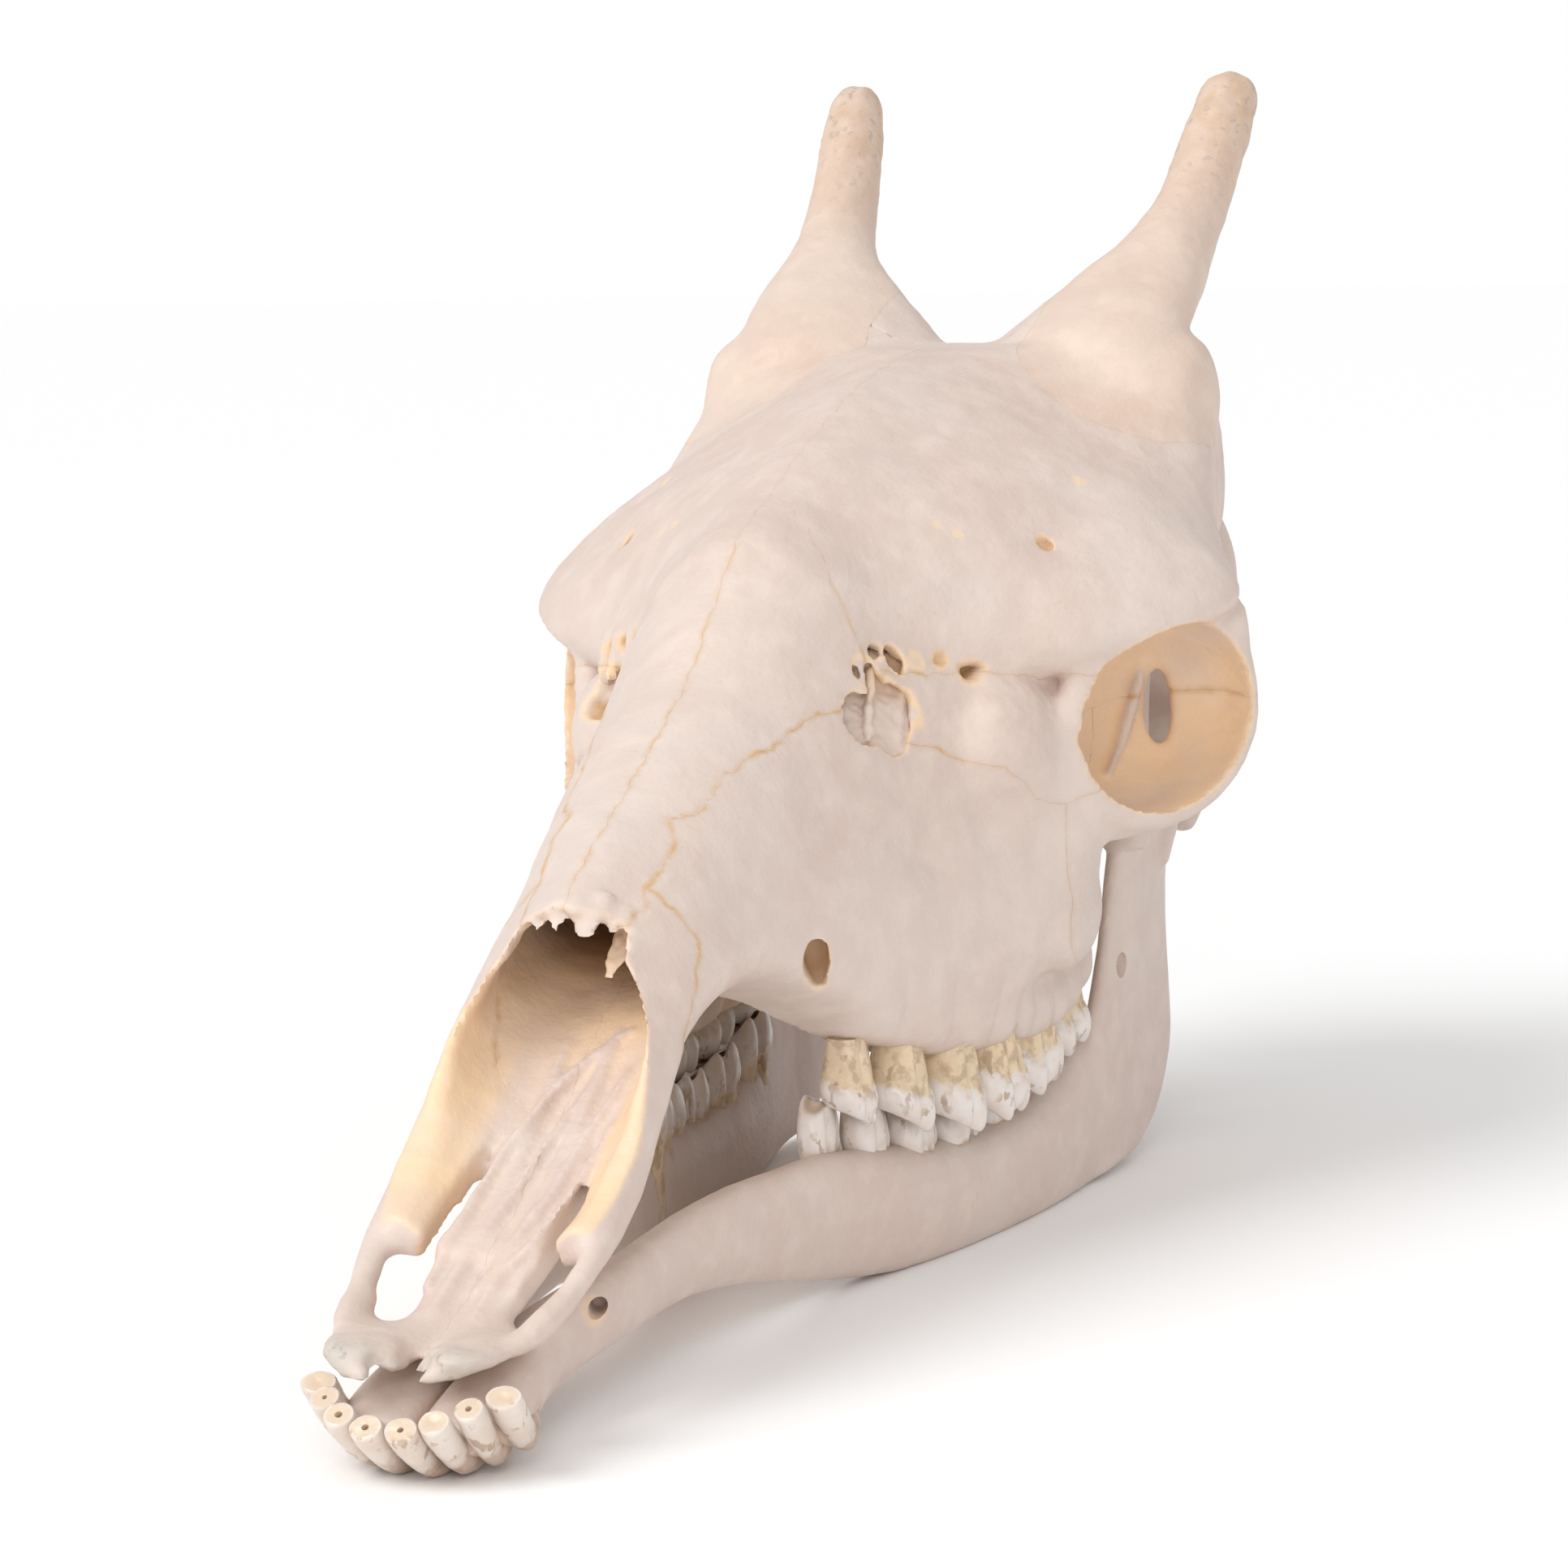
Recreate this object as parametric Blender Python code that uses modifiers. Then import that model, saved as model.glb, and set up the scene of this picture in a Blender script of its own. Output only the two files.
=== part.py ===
"""Giraffe skull with its lower jaw, resting on the jaw.

Sizes are in millimetres in the skull's own frame: x to the animal's left, y from the incisor
tips towards the back of the head, z up from the level of the cheek teeth. SETTLE turns that
frame so that the jaw rests level on the floor.
"""

import math

import bmesh
import bpy
import numpy as np
from mathutils import Matrix, Vector

MM = 0.001
GAP = 0.3
VOXEL = 2.0
CRANIUM_TRIANGLES = 5500
JAW_TRIANGLES = 900
RING = 28

# Sections of the face: distance back, half width, level of the widest point, top, bottom,
# and how square the upper and the lower halves are.
FACE = [
    (76, 32, 5, 16, -2, 2.2, 2.4),
    (90, 33, 12, 28, 3, 2.2, 2.4),
    (100, 32.6, 20, 40, 7, 2.2, 2.4),
    (114, 31, 34, 62, 14, 2.0, 2.6),
    (128, 30.5, 47, 80, 22, 1.5, 2.8),
    (143, 31, 57, 90, 34, 1.35, 2.8),
    (157, 32.5, 61, 97, 43, 1.5, 2.8),
    (172, 34.5, 62, 103, 48, 1.85, 2.8),
    (187, 36.8, 60, 110, 47, 2.05, 2.8),
    (205, 41.5, 55, 118, 41, 2.2, 3.0),
    (226, 46.5, 48, 130, 27, 2.1, 3.4),
    (246, 52, 43, 147, 17, 1.9, 4.0),
    (265, 57.5, 40, 162, 10, 1.8, 4.0),
    (288, 66, 42, 166, 5, 1.8, 3.8),
    (308, 75, 62, 160, 1, 1.8, 2.8),
    (330, 82, 76, 150, -1, 1.8, 2.4),
    (348, 78, 74, 138, -1, 1.8, 2.4),
    (364, 66, 60, 118, 5, 1.9, 2.6),
    (384, 48, 54, 106, 22, 2.0, 2.4),
    (410, 34, 62, 100, 38, 2.0, 2.0),
]

# Sections of the forehead and brow, down to the shelf over each orbit.
FOREHEAD = [
    (262, 30, 132, 161, 112, 1.8, 2.0),
    (288, 46, 126, 170, 105, 1.5, 2.0),
    (310, 68, 122, 178, 102, 1.35, 2.0),
    (330, 92, 122, 184, 105, 1.25, 2.0),
    (350, 107, 124, 190, 109, 1.22, 2.0),
    (372, 115, 127, 194, 113, 1.28, 2.0),
    (385, 110.5, 129, 195.5, 113, 1.35, 2.0),
    (400, 102.5, 134, 197, 114, 1.48, 2.1),
    (415, 95, 140, 197.5, 113, 1.85, 2.3),
    (430, 89.5, 146, 197, 112, 2.8, 2.6),
    (447, 85, 148, 196, 110, 3.8, 3.0),
    (465, 81, 150, 193, 110, 3.8, 3.0),
    (482, 75, 150, 186, 108, 3.0, 3.0),
    (497, 64, 145, 174, 105, 2.5, 2.5),
]

# Sections of the braincase.
BRAINCASE = [
    (372, 44, 100, 150, 66, 2.0, 2.0),
    (400, 50, 104, 165, 60, 2.0, 2.0),
    (430, 56, 108, 182, 55, 2.1, 2.0),
    (460, 60, 108, 186, 50, 2.1, 2.0),
    (485, 60, 104, 178, 47, 2.1, 2.0),
    (505, 60, 99, 166, 46, 2.1, 2.1),
    (522, 61, 94, 154, 46, 2.1, 2.2),
    (534, 60, 92, 144, 48, 2.1, 2.2),
    (541, 52, 90, 132, 54, 2.0, 2.2),
    (545, 34, 88, 114, 62, 2.0, 2.0),
]

SKULL_BASE = [(0, 385, 54), (0, 430, 46), (0, 480, 46), (0, 515, 50), (0, 540, 56)]
SKULL_BASE_RADII = [13, 14, 16, 17, 13]
NAPE_CREST = [(-62, 522, 92), (-57, 528, 118), (-36, 530, 142), (0, 528, 152), (36, 530, 142), (57, 528, 118), (62, 522, 92)]
NAPE_CREST_RADII = [4.5, 5.5, 6.5, 7.5, 6.5, 5.5, 4.5]

# Air space behind the nose: cut from the snout back past the vacuities.
NASAL_CAVITY = [
    (58, 25.5, 20, 72, -5, 2.4, 2.4),
    (75, 27.5, 24, 76, 3, 2.4, 2.4),
    (90, 28.2, 30, 80, 9, 2.4, 2.4),
    (112, 27, 44, 82, 21, 2.2, 2.4),
    (128, 26, 50, 77, 30, 1.6, 2.4),
    (143, 26.5, 59, 86, 41, 1.4, 2.4),
    (160, 28, 64, 93, 50, 1.6, 2.4),
    (180, 30.5, 68, 102, 56, 1.9, 2.4),
    (205, 35.5, 70, 112, 54, 2.1, 2.4),
    (228, 40, 76, 124, 48, 2.0, 2.4),
    (250, 44, 78, 140, 50, 1.9, 2.2),
    (272, 49, 80, 150, 54, 1.8, 2.0),
    (292, 50, 84, 150, 60, 1.8, 2.0),
    (306, 38, 90, 136, 72, 1.8, 2.0),
]

# Slits through the floor of the nose, and the gaps inside the cheek arches.
FISSURE = [(16.5, 58, -9.5), (19, 74, -2), (18.8, 92, 7), (15.5, 114, 20)]
FISSURE_RADII = [2.5, 3.5, 3.3, 1.8]
TEMPORAL_GAP = [(84, 402, 94), (81, 416, 98), (77, 432, 102)]
TEMPORAL_GAP_RADII = [13.5, 16.5, 15]

# Hollow of the roof of the mouth, cut up from below.
PALATE_VAULT = [
    (186, 18, -10, 44, -60, 2.2, 2.2),
    (205, 26, -10, 44, -60, 2.2, 2.2),
    (226, 31, -10, 42, -60, 2.2, 2.2),
    (260, 34, -10, 38, -60, 2.2, 2.2),
    (300, 39, -10, 34, -60, 2.2, 2.2),
    (340, 40, -10, 32, -60, 2.2, 2.2),
    (372, 38, -10, 33, -60, 2.2, 2.2),
    (396, 26, -10, 44, -60, 2.2, 2.2),
]

# Side view of the front rim of the nasal opening, from the nasal bones down to the premaxillae.
NASAL_RIM = [
    (131, 84), (132, 80), (138, 77), (130, 69.5), (124, 60), (120, 51), (115, 43), (110, 36),
    (105, 30), (100, 25), (90, 18), (80, 13), (70, 7.5),
]

PREMAXILLA_BAR = [
    (28.5, 136, 46), (29, 118, 30), (30, 104, 17), (30.5, 90, 9), (30.3, 76, 4), (29, 62, -3), (26, 46, -8.5),
]
PREMAXILLA_BAR_RADII = [4.2, 3.8, 3.7, 3.9, 4.1, 4.2, 4.2]
PREMAXILLA_EDGE = [(26, 62, -6), (25.5, 46, -8.5), (21, 33, -10.5), (14, 24, -12), (6, 21, -13)]
PREMAXILLA_EDGE_RADII = [3.8, 3.8, 3.6, 3.4, 3.0]
MEDIAN_BAR = [(4.5, 27, -13), (5.5, 44, -13), (7, 64, -8), (7.5, 84, 1), (7.5, 104, 11), (8, 130, 25), (8, 160, 42), (8, 190, 47)]
MEDIAN_BAR_RADII = [3.2, 5.4, 7.6, 8.0, 8.0, 7.6, 7.0, 7.0]

# Ridge of bone that holds the upper cheek teeth, and the crests along the floor of the nose.
TOOTH_RIDGE = [(35, 236, 31), (43, 257, 24), (50, 281, 18), (54, 306, 14), (55, 333, 11), (55, 358, 13), (55, 374, 20)]
TOOTH_RIDGE_RADII = [9, 10, 11, 11, 11, 10.5, 9]
FLOOR_CREST = [(6, 56, -8), (6, 78, 2), (6, 100, 13), (6.5, 125, 28), (7, 150, 43), (7, 176, 52)]
FLOOR_CREST_RADII = [1.8, 2.1, 2.2, 2.3, 2.3, 2.0]
SIDE_CREST = [(12.5, 66, -4), (13, 86, 5), (13, 104, 14), (12.5, 124, 26), (12.5, 146, 40)]
SIDE_CREST_RADII = [1.7, 1.9, 2.1, 2.1, 1.8]

# The eye socket: an ellipsoid cut from the bone, facing out and forwards, with a rim round it
# and a cup of bone behind it. A narrow opening leads from the cup to the gap in the cheek arch.
ORBIT_CENTRE = Vector((97, 352, 95))
ORBIT_FACING = Vector((0.88, -0.47, 0.10)).normalized()
ORBIT_HALF_LENGTH = 35.5
ORBIT_HALF_HEIGHT = 28.0
ORBIT_DEPTH = 35.0
ORBIT_CUP_SET_BACK = 12.0
ORBIT_CUP_RADII = (38.0, 31.0, 29.0)
ORBIT_TILT = 10.0
ORBIT_RIM = 4.0
ORBIT_OPENING = [(86.5, 377, 92), (79, 396, 90)]
ORBIT_OPENING_RADII = [3.4, 4.2]

CHEEK = [(72, 320, 67), (78.5, 331, 65.5), (87, 346, 63), (95, 360, 65.5), (100, 373, 72)]
CHEEK_RADII = [8, 6, 5, 4.8, 4.8]
ARCH = [(99.5, 376, 75), (100, 392, 79), (96, 412, 82), (89, 432, 82), (77, 450, 80), (62, 460, 80)]
ARCH_RADII = [5.5, 6, 6, 7, 9, 12]
POSTORBITAL = [(107, 382, 122), (107.5, 389, 107), (105, 390, 93), (101, 385, 79)]
POSTORBITAL_RADII = [7, 5.2, 5.0, 5.5]

OSSICONE_AXIS = [(40, 446, 184), (45, 455, 194), (50.3, 466, 203), (55, 480, 211.5), (58.8, 495, 222), (61.7, 513, 237.7), (64, 527, 253.5), (65.5, 536, 264.3)]
OSSICONE_RADII = [40, 34, 27, 19.5, 13.3, 11, 10.2, 9.2]
OSSICONE_LEAN = 1.1
OSSICONE_FLAT = [0.55, 0.52, 0.55, 0.72, 0.95, 1.0, 1.0, 1.0]
OSSICONE_FOOT = (62, 436, 190)
OSSICONE_FOOT_RADIUS = 36.0

# Cheek teeth from front to back: half length, half width, centre of the upper tooth (x, y),
# level of its outer tip, centre of the lower tooth (x, y), and lobes.
CHEEK_TEETH = [
    (8.5, 8.0, 35.0, 240, -2, 27.0, 235, 1),
    (9.0, 10.0, 43.0, 259, -9, 34.0, 253, 1),
    (9.5, 11.5, 50.0, 279, -14, 40.0, 273, 1),
    (13.0, 12.0, 53.0, 303, -16, 44.0, 297, 2),
    (14.0, 12.0, 53.5, 331, -15, 46.0, 325, 2),
    (14.0, 11.5, 53.0, 359, -9, 47.5, 355, 2),
]
BITE_SLOPE = 0.30
BITE_GAP = 0.8
CUSP = 1.3
UPPER_ROOT = 24.0
LOWER_ROOT = 34.0
LOWER_WIDTH = 0.62

# Front teeth from the middle out: tip, root, half width of crown and of neck.
FRONT_TEETH = [
    ((4.9, 10, -22), (4.8, 40, -36), 4.5, 3.2),
    ((13.2, 12, -20), (10.8, 42, -35), 4.2, 3.0),
    ((20.0, 18, -18), (15.5, 45, -33), 3.9, 2.8),
    ((25.8, 26, -17), (19.0, 52, -28), 5.0, 3.0),
]

# Along a front tooth: share of its length, share of the way from neck to crown width, thickness.
FRONT_TOOTH_SHAPE = [(0.0, 0.0, 3.6), (0.35, 0.15, 4.0), (0.6, 0.45, 4.2), (0.82, 0.85, 4.2), (0.94, 1.0, 4.2), (1.0, 0.95, 3.9)]
FRONT_TOOTH_ELBOW = (15.0, -40.0)

# Sections of one half of the jaw: distance back, middle, half thickness, top, bottom, and how
# square the upper and the lower halves are.
JAW = [
    (24, 10.5, 9.6, -25, -33, 2.4, 1.8),
    (34, 11.8, 12.0, -21, -37, 2.4, 1.7),
    (48, 11.6, 12.0, -17, -40, 2.4, 1.6),
    (64, 10.4, 10.2, -14, -37.5, 2.4, 1.6),
    (82, 11.4, 8.8, -11, -33.5, 2.4, 1.7),
    (100, 14.8, 7.6, -9, -31, 2.4, 1.9),
    (122, 17.4, 6.6, -8, -29.5, 2.4, 2.0),
    (150, 19.8, 6.2, -6, -29.5, 2.4, 2.0),
    (180, 23.2, 6.6, -6, -34.5, 2.4, 2.2),
    (205, 26.8, 7.4, -8, -41, 2.4, 2.2),
    (228, 31.0, 8.6, -9.5, -47, 2.6, 2.4),
    (255, 37.0, 10.0, -14.5, -52.5, 2.6, 2.4),
    (290, 43.0, 11.4, -20, -56.5, 2.6, 2.4),
    (325, 47.5, 12.0, -22, -58.5, 2.6, 2.4),
    (352, 51.0, 11.0, -18, -59.5, 2.6, 2.4),
    (376, 54.0, 8.5, -10, -59.5, 2.6, 2.4),
    (398, 56.5, 6.0, -12, -59, 2.6, 2.4),
    (416, 57.5, 4.6, -22, -55, 2.6, 2.4),
]

# Sections of the upright part of the jaw, from the angle up: level, middle, half thickness,
# front edge, back edge.
RAMUS = [
    (-57, 57, 4.6, 376, 420),
    (-50, 57.5, 5.0, 368, 438),
    (-38, 58, 5.2, 364, 450),
    (-26, 58.5, 5.2, 367, 454),
    (-8, 59.5, 4.8, 377, 451),
    (14, 61, 4.6, 388, 445.5),
    (36, 63, 4.6, 392, 443),
    (54, 65, 5.0, 396, 446),
]
CORONOID = [(64, 402, 44), (66.5, 402, 64), (68.5, 404, 86), (70, 410, 103)]
CORONOID_RADII = [9.0, 7.0, 5.4, 3.4]
CONDYLE = (67, 441, 56.5)
CONDYLE_RADII = (14, 8, 6.5)

# The front of the skull leans this far to the left at the incisors, and not at all from here back.
SNOUT_SWING = 2.6
SNOUT_SWING_START = 300

# The tips of the premaxillae lean back to the right, and the right edge of the snout stands out
# more than the left one: (distance back, share of the move).
TIP_BEND = 2.4
TIP_BEND_SHARES = [(45, 1.0), (100, 0.0)]
RIGHT_EDGE = 3.8
RIGHT_EDGE_SHARES = [(60, 0.0), (85, 1.0), (125, 1.0), (170, 0.0)]
RIGHT_EDGE_REACH = (-32, -24)

# The jaw touches the floor under the chin and under the molars.
REST_FRONT = (26, -39.8)
REST_BACK = (384, -59.2)


def clear_scene():
    for obj in list(bpy.data.objects):
        bpy.data.objects.remove(obj, do_unlink=True)


clear_scene()
SKULL = bpy.data.collections.new("giraffe_skull")
CUTTERS = bpy.data.collections.new("cutters")
bpy.context.scene.collection.children.link(SKULL)
bpy.context.scene.collection.children.link(CUTTERS)


# Shapes.

def volume_of(places, faces):
    total = 0.0
    for face in faces:
        for b, c in zip(face[1:-1], face[2:]):
            total += float(np.dot(places[face[0]], np.cross(places[b], places[c])))
    return total


def new_mesh(name, points, faces, collection=CUTTERS):
    places = np.array([tuple(p) for p in points], float) * MM
    if volume_of(places, faces) < 0:
        faces = [tuple(reversed(face)) for face in faces]
    mesh = bpy.data.meshes.new(name)
    mesh.from_pydata(places.tolist(), [], faces)
    mesh.update()
    obj = bpy.data.objects.new(name, mesh)
    collection.objects.link(obj)
    if collection is CUTTERS:
        obj.hide_render = True
        obj.display_type = "WIRE"
    return obj


def skin(name, rings):
    """One closed body through rings of equal length."""
    count = len(rings[0])
    points = [tuple(p) for ring in rings for p in ring]
    faces = []
    for r in range(len(rings) - 1):
        for i in range(count):
            j = (i + 1) % count
            a = r * count
            b = a + count
            faces.append((a + i, a + j, b + j, b + i))
    last = (len(rings) - 1) * count
    points.append(tuple(np.mean(np.array(rings[0], float), axis=0)))
    points.append(tuple(np.mean(np.array(rings[-1], float), axis=0)))
    for i in range(count):
        j = (i + 1) % count
        faces.append((j, i, last + count))
        faces.append((last + i, last + j, last + count + 1))
    return new_mesh(name, points, faces)


def smooth_rows(rows, steps):
    """Rows with steps - 1 smooth rows put in between each pair."""
    table = np.array(rows, float)
    before = np.vstack([2 * table[0] - table[1], table, 2 * table[-1] - table[-2]])
    found = []
    for i in range(1, len(table)):
        p0, p1, p2, p3 = before[i - 1], before[i], before[i + 1], before[i + 2]
        for s in range(steps):
            t = s / steps
            slope_in = (p2 - p0) / 2
            slope_out = (p3 - p1) / 2
            found.append(
                p1 * (2 * t**3 - 3 * t**2 + 1)
                + p2 * (3 * t**2 - 2 * t**3)
                + slope_in * (t**3 - 2 * t**2 + t)
                + slope_out * (t**3 - t**2)
            )
    found.append(table[-1])
    return np.array(found)


def signed_power(value, power):
    return math.copysign(abs(value) ** power, value)


def section(width, middle, top, bottom, upper, lower, count=RING):
    """Points (x, z) of a rounded section, squarer for a higher power."""
    found = []
    for i in range(count):
        turn = 2 * math.pi * i / count
        side, height = math.cos(turn), math.sin(turn)
        power = 2 / (upper if height > 0 else lower)
        reach = (top - middle) if height > 0 else (middle - bottom)
        found.append((width * signed_power(side, power), middle + reach * signed_power(height, power)))
    return found


def loft(name, rows, steps=3):
    rings = []
    for y, width, middle, top, bottom, upper, lower in smooth_rows(rows, steps):
        rings.append([(x, y, z) for x, z in section(width, middle, top, bottom, upper, lower)])
    return skin(name, rings)


def tube(name, path, radii, side=1, sides=12, steps=3, flat=1.0, loop=False):
    """A rod along a smooth path. flat squeezes it in the direction nearest to up."""
    flats = flat if isinstance(flat, list) else [flat] * len(path)
    line = [tuple(p) + (r, f) for p, r, f in zip(path, radii, flats)]
    if loop:
        line = line + [line[0]]
    rows = smooth_rows(line, steps)
    centres = [Vector((side * row[0], row[1], row[2])) for row in rows]
    rings = []
    for i, centre in enumerate(centres):
        ahead = centres[min(i + 1, len(centres) - 1)] - centres[max(i - 1, 0)]
        ahead.normalize()
        across = ahead.cross(Vector((0, 0, 1)))
        if across.length < 0.05:
            across = Vector((1, 0, 0))
        across.normalize()
        over = across.cross(ahead)
        radius, squeeze = rows[i][3], rows[i][4]
        ring = []
        for k in range(sides):
            turn = 2 * math.pi * k / sides
            ring.append(centre + across * (radius * math.cos(turn)) + over * (radius * squeeze * math.sin(turn)))
        rings.append(ring)
    return skin(name, rings)


def blob(name, centre, radii, side=1, turn=(0, 0, 0), segments=20, rings=12):
    shape = bmesh.new()
    bmesh.ops.create_uvsphere(shape, u_segments=segments, v_segments=rings, radius=1.0)
    spin = Matrix.Rotation(math.radians(turn[2]), 4, "Z")
    spin = spin @ Matrix.Rotation(math.radians(turn[1]), 4, "Y")
    spin = spin @ Matrix.Rotation(math.radians(turn[0]), 4, "X")
    scale = Matrix.Diagonal((*radii, 1))
    shape.transform(Matrix.Diagonal((side, 1, 1, 1)) @ Matrix.Translation(centre) @ spin @ scale)
    points = [tuple(v.co) for v in shape.verts]
    faces = [tuple(v.index for v in f.verts) for f in shape.faces]
    shape.free()
    return new_mesh(name, points, faces)


def plane_axes(facing, tilt):
    """The level and the upright direction of a plane, turned in it by tilt degrees."""
    level = Vector((0, 0, 1)).cross(facing).normalized()
    upright = facing.cross(level)
    turn = math.radians(tilt)
    along = level * math.cos(turn) + upright * math.sin(turn)
    up = upright * math.cos(turn) - level * math.sin(turn)
    return along, up


def framed_blob(name, centre, facing, half_length, half_height, depth, side=1, tilt=0.0):
    """An ellipsoid with its depth along facing."""
    facing = Vector(facing).normalized()
    along, up = plane_axes(facing, tilt)
    frame = Matrix((along * half_length, up * half_height, facing * depth)).transposed().to_4x4()
    shape = bmesh.new()
    bmesh.ops.create_uvsphere(shape, u_segments=28, v_segments=16, radius=1.0)
    shape.transform(Matrix.Diagonal((side, 1, 1, 1)) @ Matrix.Translation(centre) @ frame)
    points = [tuple(v.co) for v in shape.verts]
    faces = [tuple(v.index for v in f.verts) for f in shape.faces]
    shape.free()
    return new_mesh(name, points, faces)


def prism(name, outline, low, high, axis):
    """An outline pushed through space: along x it holds (y, z) points, along z it holds (x, y)."""
    rings = []
    for level in (low, high):
        if axis == "x":
            rings.append([(level, a, b) for a, b in outline])
        else:
            rings.append([(a, b, level) for a, b in outline])
    count = len(outline)
    points = [p for ring in rings for p in ring]
    faces = [tuple(range(count - 1, -1, -1)), tuple(range(count, 2 * count))]
    for i in range(count):
        j = (i + 1) % count
        faces.append((i, j, count + j, count + i))
    return new_mesh(name, points, faces)


def grown(outline, by):
    """The outline moved outwards by a distance at every side."""
    area = 0.0
    count = len(outline)
    for i in range(count):
        (x0, y0), (x1, y1) = outline[i], outline[(i + 1) % count]
        area += x0 * y1 - x1 * y0
    turn = 1.0 if area > 0 else -1.0
    found = []
    for i in range(count):
        here = Vector(outline[i])
        ahead = (Vector(outline[(i + 1) % count]) - here).normalized()
        behind = (here - Vector(outline[i - 1])).normalized()
        out_a = Vector((ahead.y, -ahead.x)) * turn
        out_b = Vector((behind.y, -behind.x)) * turn
        middle = out_a + out_b
        if middle.length < 0.2:
            middle = out_a
        middle.normalize()
        reach = by / max(middle.dot(out_a), 0.4)
        found.append(tuple(here + middle * reach))
    return found


# Modifiers.

def apply(obj):
    graph = bpy.context.evaluated_depsgraph_get()
    mesh = bpy.data.meshes.new_from_object(obj.evaluated_get(graph))
    obj.modifiers.clear()
    old = obj.data
    obj.data = mesh
    bpy.data.meshes.remove(old)


def combine(name, objects):
    """The shells of several objects in one mesh, and the objects gone."""
    points = []
    faces = []
    for obj in objects:
        start = len(points)
        points += [tuple(v.co) for v in obj.data.vertices]
        faces += [[start + v for v in face.vertices] for face in obj.data.polygons]
    mesh = bpy.data.meshes.new(name)
    mesh.from_pydata(points, [], faces)
    for obj in objects:
        bpy.data.objects.remove(obj, do_unlink=True)
    made = bpy.data.objects.new(name, mesh)
    CUTTERS.objects.link(made)
    made.hide_render = True
    made.display_type = "WIRE"
    return made


def remesh(obj, size, smooth):
    modifier = obj.modifiers.new("remesh", "REMESH")
    modifier.mode = "VOXEL"
    modifier.voxel_size = size * MM
    if smooth:
        modifier = obj.modifiers.new("smooth", "SMOOTH")
        modifier.factor = 0.5
        modifier.iterations = smooth
    apply(obj)


def thin_out(obj, triangles):
    obj.data.calc_loop_triangles()
    count = len(obj.data.loop_triangles)
    if count > triangles:
        modifier = obj.modifiers.new("decimate", "DECIMATE")
        modifier.ratio = triangles / count
        apply(obj)


def boolean(obj, other, operation, solver="MANIFOLD"):
    modifier = obj.modifiers.new("boolean", "BOOLEAN")
    modifier.operation = operation
    modifier.object = other
    modifier.solver = solver
    apply(obj)


def cut(obj, other):
    boolean(obj, other, "DIFFERENCE")
    bpy.data.objects.remove(other, do_unlink=True)


def keep_largest(obj):
    """Only the piece with the most vertices stays."""
    shape = bmesh.new()
    shape.from_mesh(obj.data)
    shape.verts.ensure_lookup_table()
    group_of = [-1] * len(shape.verts)
    sizes = []
    for start in shape.verts:
        if group_of[start.index] >= 0:
            continue
        group_of[start.index] = len(sizes)
        front = [start]
        size = 0
        while front:
            vert = front.pop()
            size += 1
            for edge in vert.link_edges:
                other = edge.other_vert(vert)
                if group_of[other.index] < 0:
                    group_of[other.index] = len(sizes)
                    front.append(other)
        sizes.append(size)
    largest = sizes.index(max(sizes))
    stray = [vert for vert in shape.verts if group_of[vert.index] != largest]
    bmesh.ops.delete(shape, geom=stray, context="VERTS")
    shape.to_mesh(obj.data)
    shape.free()
    obj.data.update()


def copy_of(obj, name):
    made = bpy.data.objects.new(name, obj.data.copy())
    CUTTERS.objects.link(made)
    made.hide_render = True
    made.display_type = "WIRE"
    return made


def carve(body, name, inner, outer):
    """Takes the piece of the body inside inner out of it, and clears outer round it."""
    piece = copy_of(body, name)
    boolean(piece, inner, "INTERSECT")
    bpy.data.objects.remove(inner, do_unlink=True)
    cut(body, outer)
    return piece


def halves(piece, name):
    """Left and right pieces with the seam between them down the middle."""
    found = []
    for side, word in ((1, "left"), (-1, "right")):
        half = copy_of(piece, f"{name}_{word}")
        box = [(side * GAP / 2, -80), (side * 200, -80), (side * 200, 700), (side * GAP / 2, 700)]
        keep = prism("half", box, -200, 400, "z")
        boolean(half, keep, "INTERSECT")
        bpy.data.objects.remove(keep, do_unlink=True)
        keep_largest(half)
        found.append(half)
    bpy.data.objects.remove(piece, do_unlink=True)
    return found


# The upper skull.

def orbit_rim(side):
    along, up = plane_axes(ORBIT_FACING, ORBIT_TILT)
    path = []
    radii = []
    for i in range(16):
        turn = 2 * math.pi * i / 16
        reach = ORBIT_RIM * 0.5
        point = ORBIT_CENTRE - ORBIT_FACING * (ORBIT_RIM * 0.7)
        point = point + along * ((ORBIT_HALF_LENGTH + reach) * math.cos(turn))
        point = point + up * ((ORBIT_HALF_HEIGHT + reach) * math.sin(turn))
        path.append(tuple(point))
        radii.append(ORBIT_RIM)
    return tube("orbit_rim", path, radii, side, steps=2, loop=True)


def ossicone_path(side):
    """The axis of one ossicone; both lean a little to the animal's right."""
    last = len(OSSICONE_AXIS) - 1
    return [(x - side * OSSICONE_LEAN * i / last, y, z) for i, (x, y, z) in enumerate(OSSICONE_AXIS)]


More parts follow.
